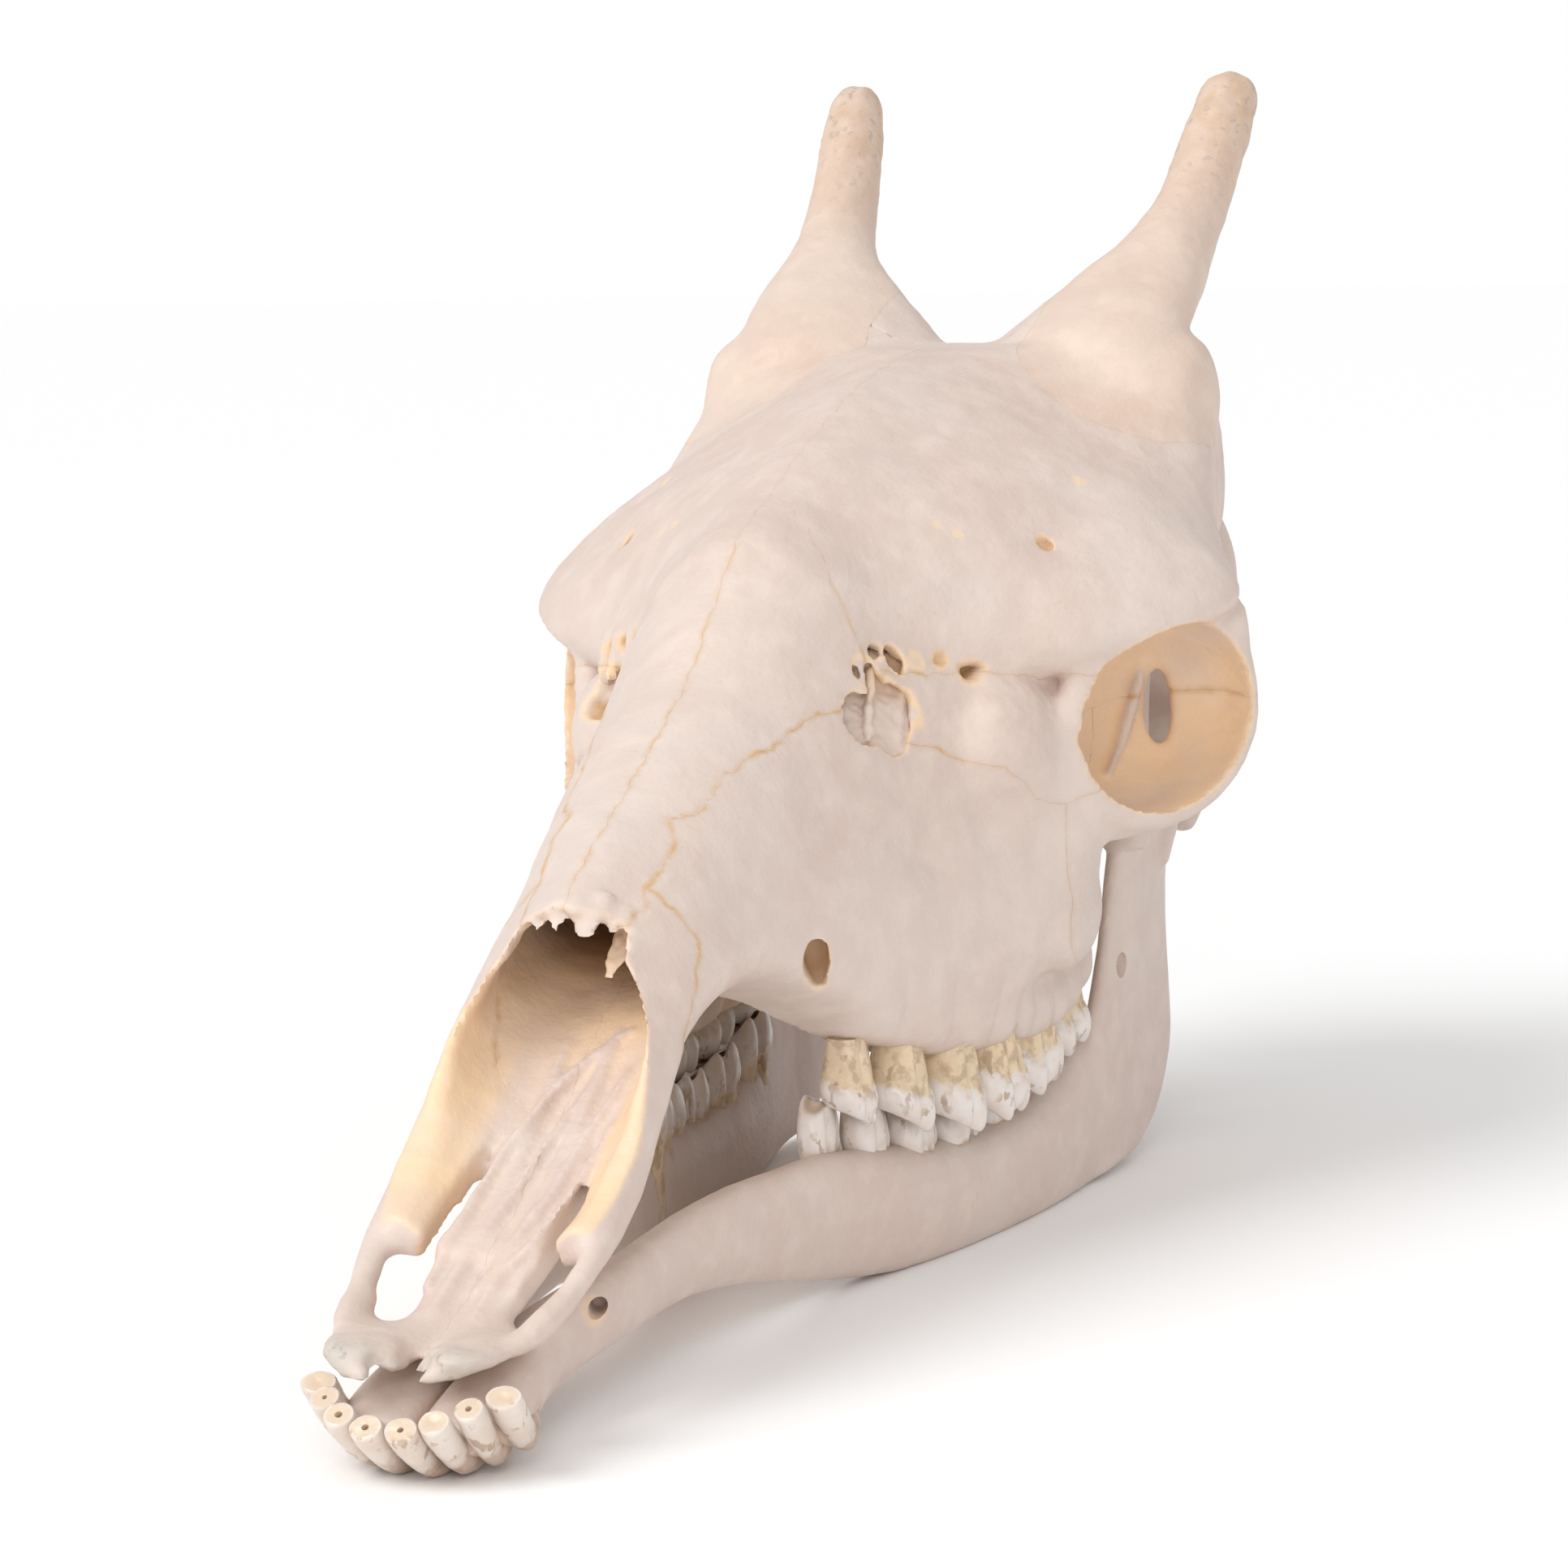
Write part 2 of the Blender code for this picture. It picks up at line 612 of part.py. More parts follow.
def cranium_shells():
    shells = [
        loft("face", FACE),
        loft("forehead", FOREHEAD),
        loft("braincase", BRAINCASE),
        tube("skull_base", SKULL_BASE, SKULL_BASE_RADII),
        tube("nape_crest", NAPE_CREST, NAPE_CREST_RADII, flat=1.3),
        tube("outer_ridge", [(0, 520, 150), (0, 536, 130), (0, 540, 108)], [9, 8, 5]),
    ]
    cup_centre = ORBIT_CENTRE - ORBIT_FACING * ORBIT_CUP_SET_BACK
    for side in (1, -1):
        shells += [
            orbit_rim(side),
            framed_blob("orbit_cup", cup_centre, ORBIT_FACING, *ORBIT_CUP_RADII, side=side, tilt=ORBIT_TILT),
            tube("cheek", CHEEK, CHEEK_RADII, side),
            tube("arch", ARCH, ARCH_RADII, side),
            tube("postorbital", POSTORBITAL, POSTORBITAL_RADII, side),
            tube("premaxilla_bar", PREMAXILLA_BAR, PREMAXILLA_BAR_RADII, side),
            tube("premaxilla_edge", PREMAXILLA_EDGE, PREMAXILLA_EDGE_RADII, side, flat=0.8),
            blob("premaxilla_plate", (15, 42, -10.5), (12.5, 22, 3.4), side, turn=(-8, 0, 0)),
            tube("median_bar", MEDIAN_BAR, MEDIAN_BAR_RADII, side, flat=0.6),
            tube("jaw_socket", [(50, 452, 78), (68, 447, 77), (84, 440, 79)], [17, 14, 9], side, flat=0.75),
            tube("ear", [(50, 478, 72), (64, 480, 76), (72, 482, 80)], [13, 10, 8], side),
            tube("mastoid", [(60, 498, 98), (60, 512, 78), (54, 520, 58)], [11, 12, 11], side),
            blob("bulla", (33, 482, 40), (10, 17, 13), side, turn=(-15, 0, -12)),
            blob("condyle", (18, 542, 64), (12, 12, 17), side, turn=(18, 0, 14)),
            tube("paracondylar", [(44, 520, 66), (45, 525, 44), (42, 524, 22)], [10, 7.5, 4], side, flat=1.3),
            tube("pterygoid", [(17, 380, 40), (18, 404, 26), (17, 412, 14)], [8, 6, 4], side),
            blob("facial_tuber", (68, 334, 38), (12, 26, 16), side, turn=(12, 0, 12)),
            tube("tooth_ridge", TOOTH_RIDGE, TOOTH_RIDGE_RADII, side),
            blob("lacrimal", (58, 312, 92), (18, 26, 22), side),
            tube("ossicone", ossicone_path(side), OSSICONE_RADII, side, sides=16, flat=OSSICONE_FLAT),
            blob("ossicone_bulge", (76, 446, 178), (9.5, 20, 20), side),
            blob("knob", ossicone_path(side)[-1], (OSSICONE_RADII[-1],) * 3, side),
        ]
    return shells


def cut_cranium(body):
    cut(body, loft("nasal_cavity", NASAL_CAVITY))
    front = NASAL_RIM + [(50, 4), (50, 130), (131, 130)]
    cut(body, prism("nasal_front", front, -60, 60, "x"))
    cut(body, loft("palate_vault", PALATE_VAULT))
    cut(body, blob("choana", (0, 392, 44), (9, 26, 15)))
    cut(body, tube("foramen_magnum", [(0, 500, 82), (0, 530, 80), (0, 570, 76)], [12, 14, 16], flat=0.95))
    for side in (1, -1):
        socket = (ORBIT_HALF_LENGTH, ORBIT_HALF_HEIGHT, ORBIT_DEPTH)
        cut(body, framed_blob("orbit", ORBIT_CENTRE, ORBIT_FACING, *socket, side=side, tilt=ORBIT_TILT))
        cut(body, framed_blob("vacuity", Vector((43, 268, 114)), (0.80, -0.30, 0.50), 26, 13.5, 17, side))
        cut(body, tube("infraorbital", [(48, 196, 50), (42, 208, 51), (36, 222, 52)], [4.2, 4.0, 3.4], side, sides=10))
        cut(body, tube("palatine_fissure", FISSURE, FISSURE_RADII, side, flat=2.4))
        cut(body, tube("orbit_opening", ORBIT_OPENING, ORBIT_OPENING_RADII, side, flat=3.2))
        cut(body, tube("temporal_gap", TEMPORAL_GAP, TEMPORAL_GAP_RADII, side, flat=1.35))


def nose_crests():
    """The crests that stand on the floor of the nose."""
    found = []
    for side in (1, -1):
        found.append(tube("floor_crest", FLOOR_CREST, FLOOR_CREST_RADII, side, flat=1.3))
        found.append(tube("side_crest", SIDE_CREST, SIDE_CREST_RADII, side))
    return found


def ossicone_region(side, radius):
    """The room round one ossicone: a ball at its foot and a sleeve along it."""
    foot = blob("foot", OSSICONE_FOOT, (radius,) * 3, side, segments=24, rings=14)
    top = Vector(OSSICONE_AXIS[-1]) + Vector((0, 30, 36))
    sleeve = tube("sleeve", [OSSICONE_FOOT, top], [radius - 2, radius + 4], side, sides=20, steps=1)
    boolean(foot, sleeve, "UNION")
    bpy.data.objects.remove(sleeve, do_unlink=True)
    return foot


def suture_box(outline, low=-200, high=200, axis="x", name="suture"):
    inner = prism(name, grown(outline, -GAP), low, high, axis)
    outer = prism(name, outline, low, high, axis)
    return inner, outer


def divide_cranium(body):
    """The bones of the upper skull, parted along their sutures."""
    bones = []
    side_line = [(120, 70), (139, 77.5), (157, 87), (170, 95), (187, 101), (205, 108), (246, 115), (262, 104)]
    nasal = side_line[:7] + [(290, 118), (290, 260), (100, 260), (100, 72)]
    plan = [(60, 60), (60, 240), (44, 264), (26, 268), (16, 280), (0, 289)]
    plan = plan + [(-x, y) for x, y in plan[-2::-1]]
    inner = prism("suture", grown(nasal, -GAP), -200, 200, "x")
    plan_inner = prism("suture", grown(plan, -GAP), -300, 400, "z")
    boolean(inner, plan_inner, "INTERSECT")
    bpy.data.objects.remove(plan_inner, do_unlink=True)
    outer = prism("suture", nasal, -200, 200, "x")
    plan_outer = prism("suture", plan, -300, 400, "z")
    boolean(outer, plan_outer, "INTERSECT")
    bpy.data.objects.remove(plan_outer, do_unlink=True)
    bones += halves(carve(body, "nasal", inner, outer), "nasal")

    lacrimal = [(256, 103), (300, 94), (326, 86), (345, 90), (345, 111), (322, 113), (296, 118), (262, 122)]
    for side, word in ((1, "left"), (-1, "right")):
        low, high = sorted((side * 40, side * 120))
        inner = prism("suture", grown(lacrimal, -GAP), low + GAP, high - GAP, "x")
        outer = prism("suture", lacrimal, low, high, "x")
        piece = carve(body, f"lacrimal_{word}", inner, outer)
        keep_largest(piece)
        bones.append(piece)

    coronal = [(462, 260), (440, 190), (428, 150), (421, 110), (416, 84), (404, 60), (392, 20), (392, -120)]
    frontal = side_line + [(300, 93.7), (326, 85.7), (350, 90), (385, 95.5), (419, 97)]
    frontal = frontal + [(421, 110), (428, 150), (440, 190), (462, 260), (100, 260), (100, 68)]
    bones += halves(carve(body, "frontal", *suture_box(frontal)), "frontal")

    premaxilla = [(-20, -80), (108, -80), (120, 20), (139, 50), (146, 57), (154, 68), (150, 90), (-20, 90)]
    bones += halves(carve(body, "premaxilla", *suture_box(premaxilla)), "premaxilla")

    for side, word in ((1, "left"), (-1, "right")):
        cheek = [(side * 79, 308), (side * 74, 346), (side * 66, 372), (side * 60, 417)]
        cheek = cheek + [(side * 140, 417), (side * 140, 308)]
        inner = prism("suture", grown(cheek, -GAP), 10, 130, "z")
        outer = prism("suture", cheek, 10, 130, "z")
        piece = carve(body, f"zygomatic_{word}", inner, outer)
        keep_largest(piece)
        bones.append(piece)

    maxilla = coronal + [(100, -120), (100, 260)]
    bones += halves(carve(body, "maxilla", *suture_box(maxilla)), "maxilla")

    keep_largest(body)
    body.name = "braincase"
    bones.append(body)
    return bones


# Teeth.

def bite_level(x, y):
    """Height of the surface where the two rows meet: it falls towards the cheek."""
    places = [row[3] for row in CHEEK_TEETH]
    tip = np.interp(y, places, [row[4] for row in CHEEK_TEETH])
    outer = np.interp(y, places, [row[2] + row[1] for row in CHEEK_TEETH])
    return float(tip + BITE_SLOPE * (outer - abs(x)))


def tooth(centre, half_length, half_width, root_level, side, upper):
    """One lobe: a column with a waisted neck and a slanting crown."""
    sides = 8
    rings = []
    for share, swell in ((0.0, 0.72), (0.45, 0.86), (0.8, 1.0), (1.0, 0.86)):
        ring = []
        for i in range(sides):
            turn = 2 * math.pi * (i + 0.5) / sides
            x = centre[0] + half_width * swell * signed_power(math.cos(turn), 0.8)
            y = centre[1] + half_length * swell * signed_power(math.sin(turn), 0.8)
            relief = CUSP * (1 - math.cos(math.pi * (y - centre[1]) / half_length))
            crown = bite_level(x, y) + (relief if upper else -relief - BITE_GAP)
            ring.append((side * x, y, root_level + (crown - root_level) * share))
        rings.append(ring)
    return skin("tooth", rings)


def row_of_teeth(side, upper):
    made = []
    for half_length, half_width, ux, uy, tip, lx, ly, lobes in CHEEK_TEETH:
        for lobe in range(lobes):
            shift = (lobe - (lobes - 1) / 2) * half_length
            reach = half_length / lobes * 1.12
            if upper:
                root = max(tip, -6) + UPPER_ROOT
                made.append(tooth((ux, uy + shift), reach, half_width, root, side, True))
            else:
                root = tip / 2 - LOWER_ROOT
                made.append(tooth((lx, ly + shift), reach, half_width * LOWER_WIDTH, root, side, False))
    return made


def front_tooth(tip, root, crown, neck, side):
    tip = Vector(tip)
    root = Vector(root)
    path = []
    widths = []
    for share, wide, thick in FRONT_TOOTH_SHAPE:
        elbow = Vector((tip.x, tip.y + FRONT_TOOTH_ELBOW[0], FRONT_TOOTH_ELBOW[1]))
        point = root.lerp(elbow, share).lerp(elbow.lerp(tip, share), share)
        path.append(point)
        widths.append((neck + (crown - neck) * wide, thick))
    rings = []
    ahead = (tip - root).normalized()
    across = ahead.cross(Vector((0, 0, 1))).normalized()
    over = across.cross(ahead)
    for point, (wide, thick) in zip(path, widths):
        ring = []
        for k in range(8):
            turn = 2 * math.pi * k / 8
            spot = point + across * (wide * math.cos(turn)) + over * (thick * math.sin(turn))
            ring.append((side * spot.x, spot.y, spot.z))
        rings.append(ring)
    return skin("front_tooth", rings)


# The jaw.

def jaw_shells(side):
    rings = []
    for y, middle, half, top, bottom, upper, lower in smooth_rows(JAW, 2):
        ring = []
        for x, z in section(half, (top + bottom) / 2, top, bottom, upper, lower, 20):
            ring.append((side * (middle + x), y, z))
        rings.append(ring)
    shells = [skin("jaw_body", rings)]
    rings = []
    for z, middle, half, front, back in smooth_rows(RAMUS, 2):
        ring = []
        for x, y in section(half, (front + back) / 2, back, front, 2.6, 2.6, 20):
            ring.append((side * (middle + x), y, z))
        rings.append(ring)
    shells.append(skin("ramus", rings))
    shells.append(tube("coronoid", CORONOID, CORONOID_RADII, side))
    shells.append(tube("neck", [(62.5, 428, 34), (64.5, 435, 45), (66.5, 440, 54)], [7.5, 7, 6.5], side))
    shells.append(blob("condyle", CONDYLE, CONDYLE_RADII, side))
    shells.append(blob("angle", (57.5, 414, -36), (6, 34, 20), side))
    return shells


def finish_node(obj, name, material):
    shape = bmesh.new()
    shape.from_mesh(obj.data)
    bmesh.ops.dissolve_degenerate(shape, dist=0.003 * MM, edges=shape.edges)
    bmesh.ops.triangulate(shape, faces=shape.faces)
    shape.to_mesh(obj.data)
    shape.free()
    keep_largest(obj)
    CUTTERS.objects.unlink(obj)
    SKULL.objects.link(obj)
    obj.name = name
    obj.data.name = name
    obj.hide_render = False
    obj.display_type = "TEXTURED"
    obj.data.materials.clear()
    obj.data.materials.append(material)
    for polygon in obj.data.polygons:
        polygon.material_index = 0
        polygon.use_smooth = False


def material_of(name, colour, roughness):
    made = bpy.data.materials.new(name)
    made.use_nodes = True
    shader = made.node_tree.nodes["Principled BSDF"]
    shader.inputs["Base Color"].default_value = (*colour, 1.0)
    shader.inputs["Roughness"].default_value = roughness
    return made


def snout_shift(x, y, upper):
    """How far a place of the skull or jaw moves to the animal's left, as in the photo."""
    shift = SNOUT_SWING * np.clip(1 - y / SNOUT_SWING_START, 0, None)
    if upper:
        bend = np.interp(y, *zip(*TIP_BEND_SHARES))
        edge = np.interp(y, *zip(*RIGHT_EDGE_SHARES)) * np.interp(x, RIGHT_EDGE_REACH, (1, 0))
        shift = shift - TIP_BEND * bend - RIGHT_EDGE * edge
    return shift


def swing_snout(objects):
    for obj in objects:
        upper = "mandible" not in obj.name
        for vertex in obj.data.vertices:
            vertex.co.x += MM * snout_shift(vertex.co.x / MM, vertex.co.y / MM, upper)


def settle(objects):
    """Turns and lifts everything so that the jaw rests on the floor, centred on the origin."""
    fall = math.atan2(REST_FRONT[1] - REST_BACK[1], REST_BACK[0] - REST_FRONT[0])
    turn = Matrix.Rotation(fall, 4, "X")
    for obj in objects:
        obj.data.transform(turn)
    corners = np.array([v.co for obj in objects for v in obj.data.vertices])
    low = corners.min(axis=0)
    high = corners.max(axis=0)
    move = Matrix.Translation((-(low[0] + high[0]) / 2, -(low[1] + high[1]) / 2, -low[2]))
    for obj in objects:
        obj.data.transform(move)
        obj.data.update()
    print("settle", round(math.degrees(fall), 4), [round(v * 1000, 3) for v in move.translation])


def build():
    bone = material_of("bone", (0.72, 0.64, 0.55), 0.62)
    jaw_bone = material_of("jaw_bone", (0.70, 0.61, 0.51), 0.62)
    horn_bone = material_of("ossicone_bone", (0.60, 0.50, 0.40), 0.7)

    cranium = combine("cranium", cranium_shells())
    remesh(cranium, VOXEL, 4)
    cut_cranium(cranium)
    cranium = combine("cranium", [cranium] + nose_crests())
    remesh(cranium, VOXEL, 3)
    keep_largest(cranium)
    thin_out(cranium, CRANIUM_TRIANGLES)
    ossicones = []
    for side, word in ((1, "left"), (-1, "right")):
        inner = ossicone_region(side, OSSICONE_FOOT_RADIUS - GAP)
        outer = ossicone_region(side, OSSICONE_FOOT_RADIUS)
        piece = carve(cranium, f"ossicone_{word}", inner, outer)
        keep_largest(piece)
        ossicones.append(piece)
    bones = divide_cranium(cranium)

    teeth_of = {"maxilla_left": row_of_teeth(1, True), "maxilla_right": row_of_teeth(-1, True)}
    for bone_piece in bones:
        for shape in teeth_of.get(bone_piece.name, []):
            boolean(bone_piece, shape, "UNION")
            bpy.data.objects.remove(shape, do_unlink=True)

    jaws = []
    for side, word in ((1, "left"), (-1, "right")):
        jaw = combine(f"mandible_{word}", jaw_shells(side))
        remesh(jaw, VOXEL * 0.8, 3)
        thin_out(jaw, JAW_TRIANGLES)
        box = [(side * GAP / 2, -80), (side * 200, -80), (side * 200, 700), (side * GAP / 2, 700)]
        keep = prism("half", box, -200, 400, "z")
        teeth = row_of_teeth(side, False)
        teeth += [front_tooth(*row, side) for row in FRONT_TEETH]
        for shape in teeth:
            boolean(jaw, shape, "UNION")
            bpy.data.objects.remove(shape, do_unlink=True)
        boolean(jaw, keep, "INTERSECT")
        bpy.data.objects.remove(keep, do_unlink=True)
        floor = prism("floor", [(-100, -300), (700, -300), (700, 0), (-100, 0)], -150, 150, "x")
        slope = (REST_FRONT[1] - REST_BACK[1]) / (REST_BACK[0] - REST_FRONT[0])
        for vertex in floor.data.vertices:
            vertex.co.z += (REST_FRONT[1] - slope * (vertex.co.y / MM - REST_FRONT[0])) * MM
        cut(jaw, floor)
        jaws.append(jaw)

    for bone_piece in bones:
        finish_node(bone_piece, bone_piece.name, bone)
    for jaw in jaws:
        finish_node(jaw, jaw.name, jaw_bone)
    for horn in ossicones:
        finish_node(horn, horn.name, horn_bone)
    swing_snout(SKULL.objects)
    settle(list(SKULL.objects))
    for leftover in list(CUTTERS.objects):
        print("left over", leftover.name)
    total = 0
    for obj in SKULL.objects:
        obj.data.calc_loop_triangles()
        count = len(obj.data.loop_triangles)
        total += count
        print(obj.name, count)
    print("total", total)


build()
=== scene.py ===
# %% [markdown]
# # A giraffe skull
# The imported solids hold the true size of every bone. This lesson makes the same forms again
# with a much finer skin, adds the teeth, the scrolls inside the nose, the sutures and the
# pits that a coarse solid leaves out, and gives dry bone and enamel their own materials.

# %% The frame
import math

import bmesh
import bpy
import numpy as np
from mathutils import Matrix, Vector
from mathutils.bvhtree import BVHTree


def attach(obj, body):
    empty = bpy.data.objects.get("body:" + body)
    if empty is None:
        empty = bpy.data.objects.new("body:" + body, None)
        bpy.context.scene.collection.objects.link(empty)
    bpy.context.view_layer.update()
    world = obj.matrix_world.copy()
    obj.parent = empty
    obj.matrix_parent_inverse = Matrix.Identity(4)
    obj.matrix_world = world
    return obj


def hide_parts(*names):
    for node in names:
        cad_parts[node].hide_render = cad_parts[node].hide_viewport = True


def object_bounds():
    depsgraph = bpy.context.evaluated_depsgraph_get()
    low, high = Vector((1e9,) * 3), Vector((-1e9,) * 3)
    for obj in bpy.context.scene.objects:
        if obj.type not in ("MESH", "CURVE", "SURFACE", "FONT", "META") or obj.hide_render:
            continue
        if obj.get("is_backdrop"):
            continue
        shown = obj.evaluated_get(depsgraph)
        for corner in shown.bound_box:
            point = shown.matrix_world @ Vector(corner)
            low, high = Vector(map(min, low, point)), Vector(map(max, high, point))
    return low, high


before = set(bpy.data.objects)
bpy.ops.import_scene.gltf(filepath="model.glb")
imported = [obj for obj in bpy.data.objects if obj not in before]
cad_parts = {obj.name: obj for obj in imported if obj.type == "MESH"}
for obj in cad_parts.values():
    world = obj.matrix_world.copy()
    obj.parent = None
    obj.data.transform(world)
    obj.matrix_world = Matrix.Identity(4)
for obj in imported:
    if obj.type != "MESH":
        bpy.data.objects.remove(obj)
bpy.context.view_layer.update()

# %% [markdown]
# The skull is measured in millimetres in its own frame: x to the animal's left, y from the
# incisor tips back, z up from the cheek teeth. At the end a small turn and a lift lay that frame
# on the floor, exactly as the solids lie. The real snout bends a little to one side; moving the
# finished points sideways keeps every section of the lesson symmetric and easy to read.

# %% Sizes of the whole
FINE = 1.3
MM = 0.001
SECTION_POINTS = 56
SNOUT_SWING = 2.6
SNOUT_SWING_START = 300
TIP_BEND = 2.4
TIP_BEND_SHARES = [(45, 1.0), (100, 0.0)]
RIGHT_EDGE = 3.8
RIGHT_EDGE_SHARES = [(60, 0.0), (85, 1.0), (125, 1.0), (170, 0.0)]
RIGHT_EDGE_REACH = (-32, -24)
FALL = math.radians(3.1018)
MOVE = np.array([0.184, -280.098, 38.335])
print("skin of the bone made from voxels of", FINE, "mm")


def snout_shift(x, y, upper):
    """How far a place of the skull or jaw moves to the animal's left, as in the photo."""
    shift = SNOUT_SWING * np.clip(1 - y / SNOUT_SWING_START, 0, None)
    if upper:
        bend = np.interp(y, *zip(*TIP_BEND_SHARES))
        edge = np.interp(y, *zip(*RIGHT_EDGE_SHARES)) * np.interp(x, RIGHT_EDGE_REACH, (1, 0))
        shift = shift - TIP_BEND * bend - RIGHT_EDGE * edge
    return shift


def to_floor(points, upper=True):
    """Skull millimetres to metres on the floor."""
    p = np.array(points, float).reshape(-1, 3)
    p[:, 0] += snout_shift(p[:, 0], p[:, 1], upper)
    c, s = math.cos(FALL), math.sin(FALL)
    turned = np.column_stack([p[:, 0], c * p[:, 1] - s * p[:, 2], s * p[:, 1] + c * p[:, 2]])
    return (turned + MOVE) * MM


# %% [markdown]
# Bones are rounded bars, plates and bulbs that run into each other. Each such shape starts as a
# closed shell: rings of points joined into a tube with both ends shut. A spline with a bevel
# could draw the bars too, but rings let every section have its own width and height. The shell
# turns its faces outwards itself, by the sign of the volume that they enclose.

# %% Closed shells
WORK = bpy.data.collections.new("work")
bpy.context.scene.collection.children.link(WORK)


def shell(name, points, faces):
    """A closed mesh object in skull millimetres, turned to face outwards."""
    places = np.array(points, float).reshape(-1, 3)
    volume = 0.0
    for face in faces:
        for b, c in zip(face[1:-1], face[2:]):
            volume += float(np.dot(places[face[0]], np.cross(places[b], places[c])))
    if volume < 0:
        faces = [tuple(reversed(face)) for face in faces]
    mesh = bpy.data.meshes.new(name)
    mesh.from_pydata(places.tolist(), [], faces)
    obj = bpy.data.objects.new(name, mesh)
    WORK.objects.link(obj)
    return obj


def skin(name, rings):
    """One closed body through rings of equal length."""
    count = len(rings[0])
    points = [tuple(p) for ring in rings for p in ring]
    faces = []
    for r in range(len(rings) - 1):
        for i in range(count):
            j = (i + 1) % count
            a = r * count
            faces.append((a + i, a + j, a + count + j, a + count + i))
    last = (len(rings) - 1) * count
    points.append(tuple(np.mean(np.array(rings[0], float), axis=0)))
    points.append(tuple(np.mean(np.array(rings[-1], float), axis=0)))
    for i in range(count):
        j = (i + 1) % count
        faces.append((j, i, last + count))
        faces.append((last + i, last + j, last + count + 1))
    return shell(name, points, faces)


print("shells are built in the collection", WORK.name)

# %% [markdown]
# A bone's long form is known at a few places only. A smooth curve through the rows of numbers
# gives the sections in between, so a short list is enough. Each section is a rounded oblong: a
# power near 2 makes it an oval, a higher power makes it squarer, a lower one makes it peaked.

# %% Lofts through sections
def smooth_rows(rows, steps):
    """Rows with steps - 1 smooth rows put in between each pair."""
    table = np.array(rows, float)
    before = np.vstack([2 * table[0] - table[1], table, 2 * table[-1] - table[-2]])
    found = []
    for i in range(1, len(table)):
        p0, p1, p2, p3 = before[i - 1], before[i], before[i + 1], before[i + 2]
        for s in range(steps):
            t = s / steps
            slope_in = (p2 - p0) / 2
            slope_out = (p3 - p1) / 2
            found.append(
                p1 * (2 * t**3 - 3 * t**2 + 1)
                + p2 * (3 * t**2 - 2 * t**3)
                + slope_in * (t**3 - 2 * t**2 + t)
                + slope_out * (t**3 - t**2)
            )
    found.append(table[-1])
    return np.array(found)


def signed_power(value, power):
    """A power that keeps the sign of the value."""
    return math.copysign(abs(value) ** power, value)


def section(width, middle, top, bottom, upper, lower, count=SECTION_POINTS):
    """Points (x, z) of a rounded section, squarer for a higher power."""
    found = []
    for i in range(count):
        turn = 2 * math.pi * i / count
        side, height = math.cos(turn), math.sin(turn)
        power = 2 / (upper if height > 0 else lower)
        reach = (top - middle) if height > 0 else (middle - bottom)
        found.append((width * signed_power(side, power), middle + reach * signed_power(height, power)))
    return found


def loft(name, rows, steps=5):
    """One closed body through rounded sections that follow each other along y."""
    rings = []
    for y, width, middle, top, bottom, upper, lower in smooth_rows(rows, steps):
        rings.append([(x, y, z) for x, z in section(width, middle, top, bottom, upper, lower)])
    return skin(name, rings)


print("a section has", len(section(30, 0, 20, -20, 2.0, 2.0)), "points")

# %% [markdown]
# Rims, crests, arches and horns follow a line. A rod along a smooth path, with its own radius
# at each point, makes them all, and the same rod cuts the holes for nerves and vessels.

# %% Rods along a path
def tube(name, path, radii, side=1, sides=20, steps=5, flat=1.0, loop=False):
    """A rod along a smooth path. flat squeezes it in the direction nearest to up."""
    flats = flat if isinstance(flat, list) else [flat] * len(path)
    line = [tuple(p) + (r, f) for p, r, f in zip(path, radii, flats)]
    if loop:
        line = line + [line[0]]
    rows = smooth_rows(line, steps)
    centres = [Vector((side * row[0], row[1], row[2])) for row in rows]
    rings = []
    for i, centre in enumerate(centres):
        ahead = (centres[min(i + 1, len(centres) - 1)] - centres[max(i - 1, 0)]).normalized()
        across = ahead.cross(Vector((0, 0, 1)))
        if across.length < 0.05:
            across = Vector((1, 0, 0))
        across.normalize()
        over = across.cross(ahead)
        radius, squeeze = rows[i][3], rows[i][4]
        ring = []
        for k in range(sides):
            turn = 2 * math.pi * k / sides
            sideways = across * (radius * math.cos(turn))
            upwards = over * (radius * squeeze * math.sin(turn))
            ring.append(centre + sideways + upwards)
        rings.append(ring)
    return skin(name, rings)


print("rods: a path, a radius for each of its points, and how flat they are")

# %% [markdown]
# Knuckles, bulges and the cup of the eye socket are bulbs. A unit ball taken through a matrix
# becomes an oval body of any size and turn, and a mirror in the same matrix makes the other side.

# %% Bulbs
def ball(name, matrix, segments=36, rings=20):
    """A unit ball taken through a matrix."""
    shape = bmesh.new()
    bmesh.ops.create_uvsphere(shape, u_segments=segments, v_segments=rings, radius=1.0)
    shape.transform(matrix)
    points = [tuple(v.co) for v in shape.verts]
    faces = [tuple(v.index for v in f.verts) for f in shape.faces]
    shape.free()
    return shell(name, points, faces)


def blob(name, centre, radii, side=1, turn=(0, 0, 0), segments=36, rings=20):
    """An oval bulb with its own radius along x, y and z, turned by degrees round them."""
    spin = Matrix.Rotation(math.radians(turn[2]), 4, "Z")
    spin = spin @ Matrix.Rotation(math.radians(turn[1]), 4, "Y")
    spin = spin @ Matrix.Rotation(math.radians(turn[0]), 4, "X")
    mirror = Matrix.Diagonal((side, 1, 1, 1))
    place = mirror @ Matrix.Translation(centre) @ spin @ Matrix.Diagonal((*radii, 1))
    return ball(name, place, segments, rings)


